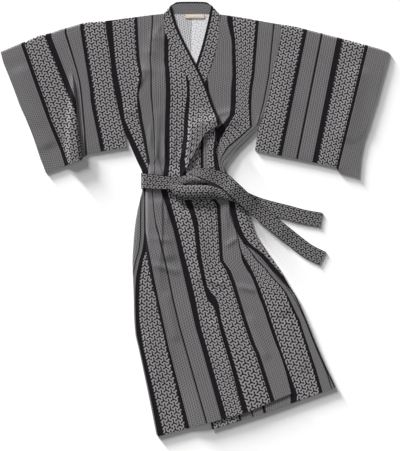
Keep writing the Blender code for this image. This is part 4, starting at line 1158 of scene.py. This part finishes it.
def make_cloth(node, grid, wall, materials, face_up=True):
    """A sheet from its grid, with a wall, standing for a node of the frame, whose own part it hides.

    The first material is on the side that faces up in the grid's last rows, or
    down where face_up is false.
    """
    points, measures = grid
    rows, columns = points.shape[:2]
    index = np.arange(rows * columns).reshape(rows, columns)
    quads = np.stack([index[:-1, :-1], index[1:, :-1], index[1:, 1:], index[:-1, 1:]],
                     axis=-1).reshape(-1, 4)
    places = (points * MM).reshape(-1, 3)
    corner = places[quads[-columns // 2]]
    upward = np.cross(corner[2] - corner[0], corner[3] - corner[1])[2] > 0.0
    if upward != face_up:
        quads = quads[:, ::-1]
    mesh = bpy.data.meshes.new(node + "_cloth")
    mesh.from_pydata(places.tolist(), [], quads.tolist())
    layer = mesh.uv_layers.new(name="cloth")
    corners = (measures * MM).reshape(-1, 2)[quads.reshape(-1)]
    layer.data.foreach_set("uv", corners.reshape(-1))
    for material in materials:
        mesh.materials.append(material)
    mesh.shade_smooth()
    border = np.ones((rows, columns), bool)
    border[1:-1, 1:-1] = False
    ends = np.empty(len(mesh.edges) * 2, int)
    mesh.edges.foreach_get("vertices", ends)
    mesh.edges.foreach_set("use_edge_sharp", border.reshape(-1)[ends].reshape(-1, 2).all(axis=1))
    made = bpy.data.objects.new(node + "_cloth", mesh)
    bpy.context.scene.collection.objects.link(made)
    shell = made.modifiers.new("wall", 'SOLIDIFY')
    shell.thickness = wall
    shell.offset = 0.0
    shell.use_even_offset = False
    shell.material_offset = len(materials) - 1
    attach(made, "root")
    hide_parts(node)


class RobeMaker:
    """What the operators share."""
    bl_options = {'REGISTER', 'UNDO'}

    def settings(self, context):
        """The user's sizes and colours, and the distance between points in mm."""
        scene = context.scene
        return scene.robe_sizes, scene.robe_colours, scene.robe_sizes.mesh_step / MM

    def panel(self, context, node, grid, bands, face_up=True):
        """A panel of striped cotton with its undyed side. The backs' stripes face down."""
        sizes, colours, _ = self.settings(context)
        outer = cotton(node + "_cotton", BANDS[bands], sizes, colours)
        undyed = cotton(node + "_reverse", BANDS[bands], sizes, colours, True)
        make_cloth(node, grid, sizes.cloth, [outer, undyed], face_up)


class ROBE_OT_backs(RobeMaker, bpy.types.Operator):
    """Make the two back halves, which lie on the surface"""
    bl_idname = "robe.backs"
    bl_label = "Backs"

    def execute(self, context):
        step = self.settings(context)[2]
        for node, table, front, neck, turn, side in (
                ("back_right", BACK_RIGHT, RIGHT_PANEL, NECK_RIGHT, RIGHT_TURN_ROW, -1),
                ("back_left", BACK_LEFT, LEFT_PANEL, NECK_LEFT, LEFT_TURN_ROW, 1)):
            line, _ = side_line(np.array(front, float), table, turn, side)
            self.panel(context, node, back_grid(step, table, line, neck, turn, side), node, False)
        return {'FINISHED'}


class ROBE_OT_fronts(RobeMaker, bpy.types.Operator):
    """Make the two fronts, the right one with its tuck"""
    bl_idname = "robe.fronts"
    bl_label = "Fronts"

    def execute(self, context):
        step = self.settings(context)[2]
        self.panel(context, "front_left", front_left_grid(step), "front_left")
        self.panel(context, "front_right", front_right_grid(step), "front_right")
        return {'FINISHED'}


class ROBE_OT_overlaps(RobeMaker, bpy.types.Operator):
    """Make the two overlap gores"""
    bl_idname = "robe.overlaps"
    bl_label = "Overlaps"

    def execute(self, context):
        step = self.settings(context)[2]
        self.panel(context, "overlap_left", overlap_left_grid(step), "overlap_left")
        self.panel(context, "overlap_right", overlap_right_grid(step), "overlap_right")
        return {'FINISHED'}


class ROBE_OT_collar(RobeMaker, bpy.types.Operator):
    """Make the collar band round the neck"""
    bl_idname = "robe.collar"
    bl_label = "Collar"

    def execute(self, context):
        sizes, colours, step = self.settings(context)
        inside = cotton("collar_inside_cotton", BANDS["collar_inside"], sizes, colours)
        outer = cotton("collar_cotton", BANDS["collar"], sizes, colours)
        make_cloth("collar", collar_grid(step), sizes.collar, [outer, inside])
        return {'FINISHED'}


class ROBE_OT_sleeves(RobeMaker, bpy.types.Operator):
    """Make the two square sleeves"""
    bl_idname = "robe.sleeves"
    bl_label = "Sleeves"

    def execute(self, context):
        step = self.settings(context)[2]
        for node, cuff, back, corner, *how in (
                ("sleeve_right", SLEEVE_RIGHT, BACK_RIGHT, SLEEVE_RIGHT_CORNER,
                 (BROAD_SLEEVE_RIGHT,), SLEEVE_RIGHT_OUTER, SLEEVE_RIGHT_INNER, -1.0,
                 SHOULDER_BOW_RIGHT),
                ("sleeve_left", SLEEVE_LEFT, BACK_LEFT, SLEEVE_LEFT_CORNER,
                 (BROAD_SLEEVE_LEFT,), SLEEVE_LEFT_LINES, None, 1.0, SHOULDER_BOW_LEFT)):
            armhole = [row[0:2] for row in back[:ARMHOLE_ROW + 1]] + [corner]
            self.panel(context, node, sleeve_grid(step, cuff, armhole, *how), "sleeve")
        return {'FINISHED'}


class ROBE_OT_label(RobeMaker, bpy.types.Operator):
    """Make the bare label inside the neck"""
    bl_idname = "robe.label"
    bl_label = "Label"

    def execute(self, context):
        _, colours, _ = self.settings(context)
        (x, y), (width, height) = LABEL_CENTRE, LABEL_SIZE
        u, v = np.meshgrid(np.linspace(0.0, 1.0, 18), np.linspace(0.0, 1.0, 5))
        low, crown, wall = LABEL_LIES
        z = low + crown * np.sin(np.pi * u) * np.sin(np.pi * v)
        points = np.stack([x + width * (u - 0.5), y + height * (v - 0.5), z], axis=2)
        measures = np.stack([u * width, v * height], axis=2)
        make_cloth("label", (points, measures), wall * MM, [label_satin(colours)])
        return {'FINISHED'}


class ROBE_OT_belt(RobeMaker, bpy.types.Operator):
    """Make the belt, its knot and its two ends"""
    bl_idname = "robe.belt"
    bl_label = "Belt"

    def execute(self, context):
        sizes, colours, step = self.settings(context)
        fine = step * 0.6
        for node, grid in (("belt_band", belt_band_grid(fine)),
                           ("belt_knot_turn", knot_turn_grid(fine)),
                           ("belt_end_lower", strip_grid(fine, TAIL_LOWER)),
                           ("belt_end_upper", strip_grid(fine, TAIL_UPPER))):
            outer = cotton(node + "_cotton", BANDS["belt"], sizes, colours)
            make_cloth(node, grid, sizes.belt, [outer])
        return {'FINISHED'}


FLOOR_REACH = 6.0
# Lights: name, kind, size (an area's side in metres, a sun's angle in degrees), place
# in metres, and what it lights
LIGHTS = (
    ("fill", 'AREA', 5.0, (0.3, -0.2, 4.5), "cloth_only"),
    ("key", 'SUN', 7.0, (-4.0, 6.0, 1.25), "cloth_only"),
    ("rake", 'SUN', 4.0, (-4.0, 5.4, 0.38), "floor_only"),
    ("slant", 'SUN', 10.0, (-4.0, 5.4, 1.0), "floor_only"),
)


class ROBE_OT_stage(RobeMaker, bpy.types.Operator):
    """Make the floor, the lights and the camera over the robe"""
    bl_idname = "robe.stage"
    bl_label = "Stage"

    def execute(self, context):
        scene, stage = context.scene, context.scene.robe_stage
        mesh = bpy.data.meshes.new("floor")
        corners = [(x * FLOOR_REACH, y * FLOOR_REACH, 0.0)
                   for x, y in ((-1, -1), (1, -1), (1, 1), (-1, 1))]
        mesh.from_pydata(corners, [], [(0, 1, 2, 3)])
        paint = Paint("floor_paper", 0.95)
        grain = paint.noise(paint.node('ShaderNodeTexCoord', {}, {}, 3), 40.0)
        paper = paint.mix(grain * 0.02, (*stage.floor, 1.0), (0.5, 0.5, 0.5, 1.0))
        paint.feed(paint.shader.inputs["Base Color"], paper)
        mesh.materials.append(paint.material)
        floor = bpy.data.objects.new("floor", mesh)
        scene.collection.objects.link(floor)
        lit = {}
        for name, state in (("cloth_only", 'EXCLUDE'), ("floor_only", 'INCLUDE')):
            lit[name] = bpy.data.collections.new(name)
            lit[name].objects.link(floor)
            lit[name].collection_objects[0].light_linking.link_state = state
        powers = {"fill": stage.fill, "key": stage.key, "rake": stage.rake, "slant": stage.slant}
        for name, kind, size, place, receiver in LIGHTS:
            made = self.light(name, kind, powers[name], size, place)
            made.light_linking.receiver_collection = lit[receiver]
            scene.collection.objects.link(made)
        data = bpy.data.cameras.new("overhead")
        data.sensor_fit, data.sensor_height = 'VERTICAL', 24.0
        data.lens = data.sensor_height * stage.camera_height / stage.view
        data.clip_end = 60.0
        camera = bpy.data.objects.new("overhead", data)
        camera.location = (stage.camera_x, stage.camera_y, stage.camera_height)
        scene.collection.objects.link(camera)
        scene.camera = camera
        scene.world = bpy.data.worlds.new("studio")
        scene.world.use_nodes = True
        sky = scene.world.node_tree.nodes["Background"]
        sky.inputs["Color"].default_value = (1.0, 1.0, 1.0, 1.0)
        sky.inputs["Strength"].default_value = stage.sky
        scene.view_settings.view_transform = 'Standard'
        return {'FINISHED'}

    def light(self, name, kind, power, size, place):
        """A light that looks at the middle of the robe."""
        data = bpy.data.lights.new(name, kind)
        data.energy = power
        if kind == 'SUN':
            data.angle = np.radians(size)
        else:
            data.size = size
        made = bpy.data.objects.new(name, data)
        made.location = place
        made.rotation_euler = made.location.to_track_quat('Z', 'Y').to_euler()
        return made


class ROBE_PT_panel(bpy.types.Panel):
    """The robe's pieces and settings"""
    bl_idname = "ROBE_PT_panel"
    bl_label = "Yukata Robe"
    bl_space_type = 'VIEW_3D'
    bl_region_type = 'UI'
    bl_category = "Robe"

    def draw(self, context):
        for group in (context.scene.robe_sizes, context.scene.robe_colours, context.scene.robe_stage):
            for key in group.bl_rna.properties.keys():
                if key not in ("rna_type", "name"):
                    self.layout.prop(group, key)
        for maker in MAKERS:
            self.layout.operator(maker.bl_idname)


MAKERS = (ROBE_OT_backs, ROBE_OT_fronts, ROBE_OT_overlaps, ROBE_OT_collar, ROBE_OT_sleeves,
          ROBE_OT_label, ROBE_OT_belt, ROBE_OT_stage)
CLASSES = (RobeSizes, RobeColours, RobeStage) + MAKERS + (ROBE_PT_panel,)


def register():
    for entry in CLASSES:
        bpy.utils.register_class(entry)
    bpy.types.Scene.robe_sizes = bpy.props.PointerProperty(type=RobeSizes)
    bpy.types.Scene.robe_colours = bpy.props.PointerProperty(type=RobeColours)
    bpy.types.Scene.robe_stage = bpy.props.PointerProperty(type=RobeStage)


def unregister():
    del bpy.types.Scene.robe_stage
    del bpy.types.Scene.robe_colours
    del bpy.types.Scene.robe_sizes
    for entry in reversed(CLASSES):
        bpy.utils.unregister_class(entry)


def main():
    register()
    bpy.ops.robe.backs()
    bpy.ops.robe.fronts()
    bpy.ops.robe.overlaps()
    bpy.ops.robe.collar()
    bpy.ops.robe.sleeves()
    bpy.ops.robe.label()
    bpy.ops.robe.belt()
    bpy.ops.robe.stage()


if __name__ == "__main__":
    main()
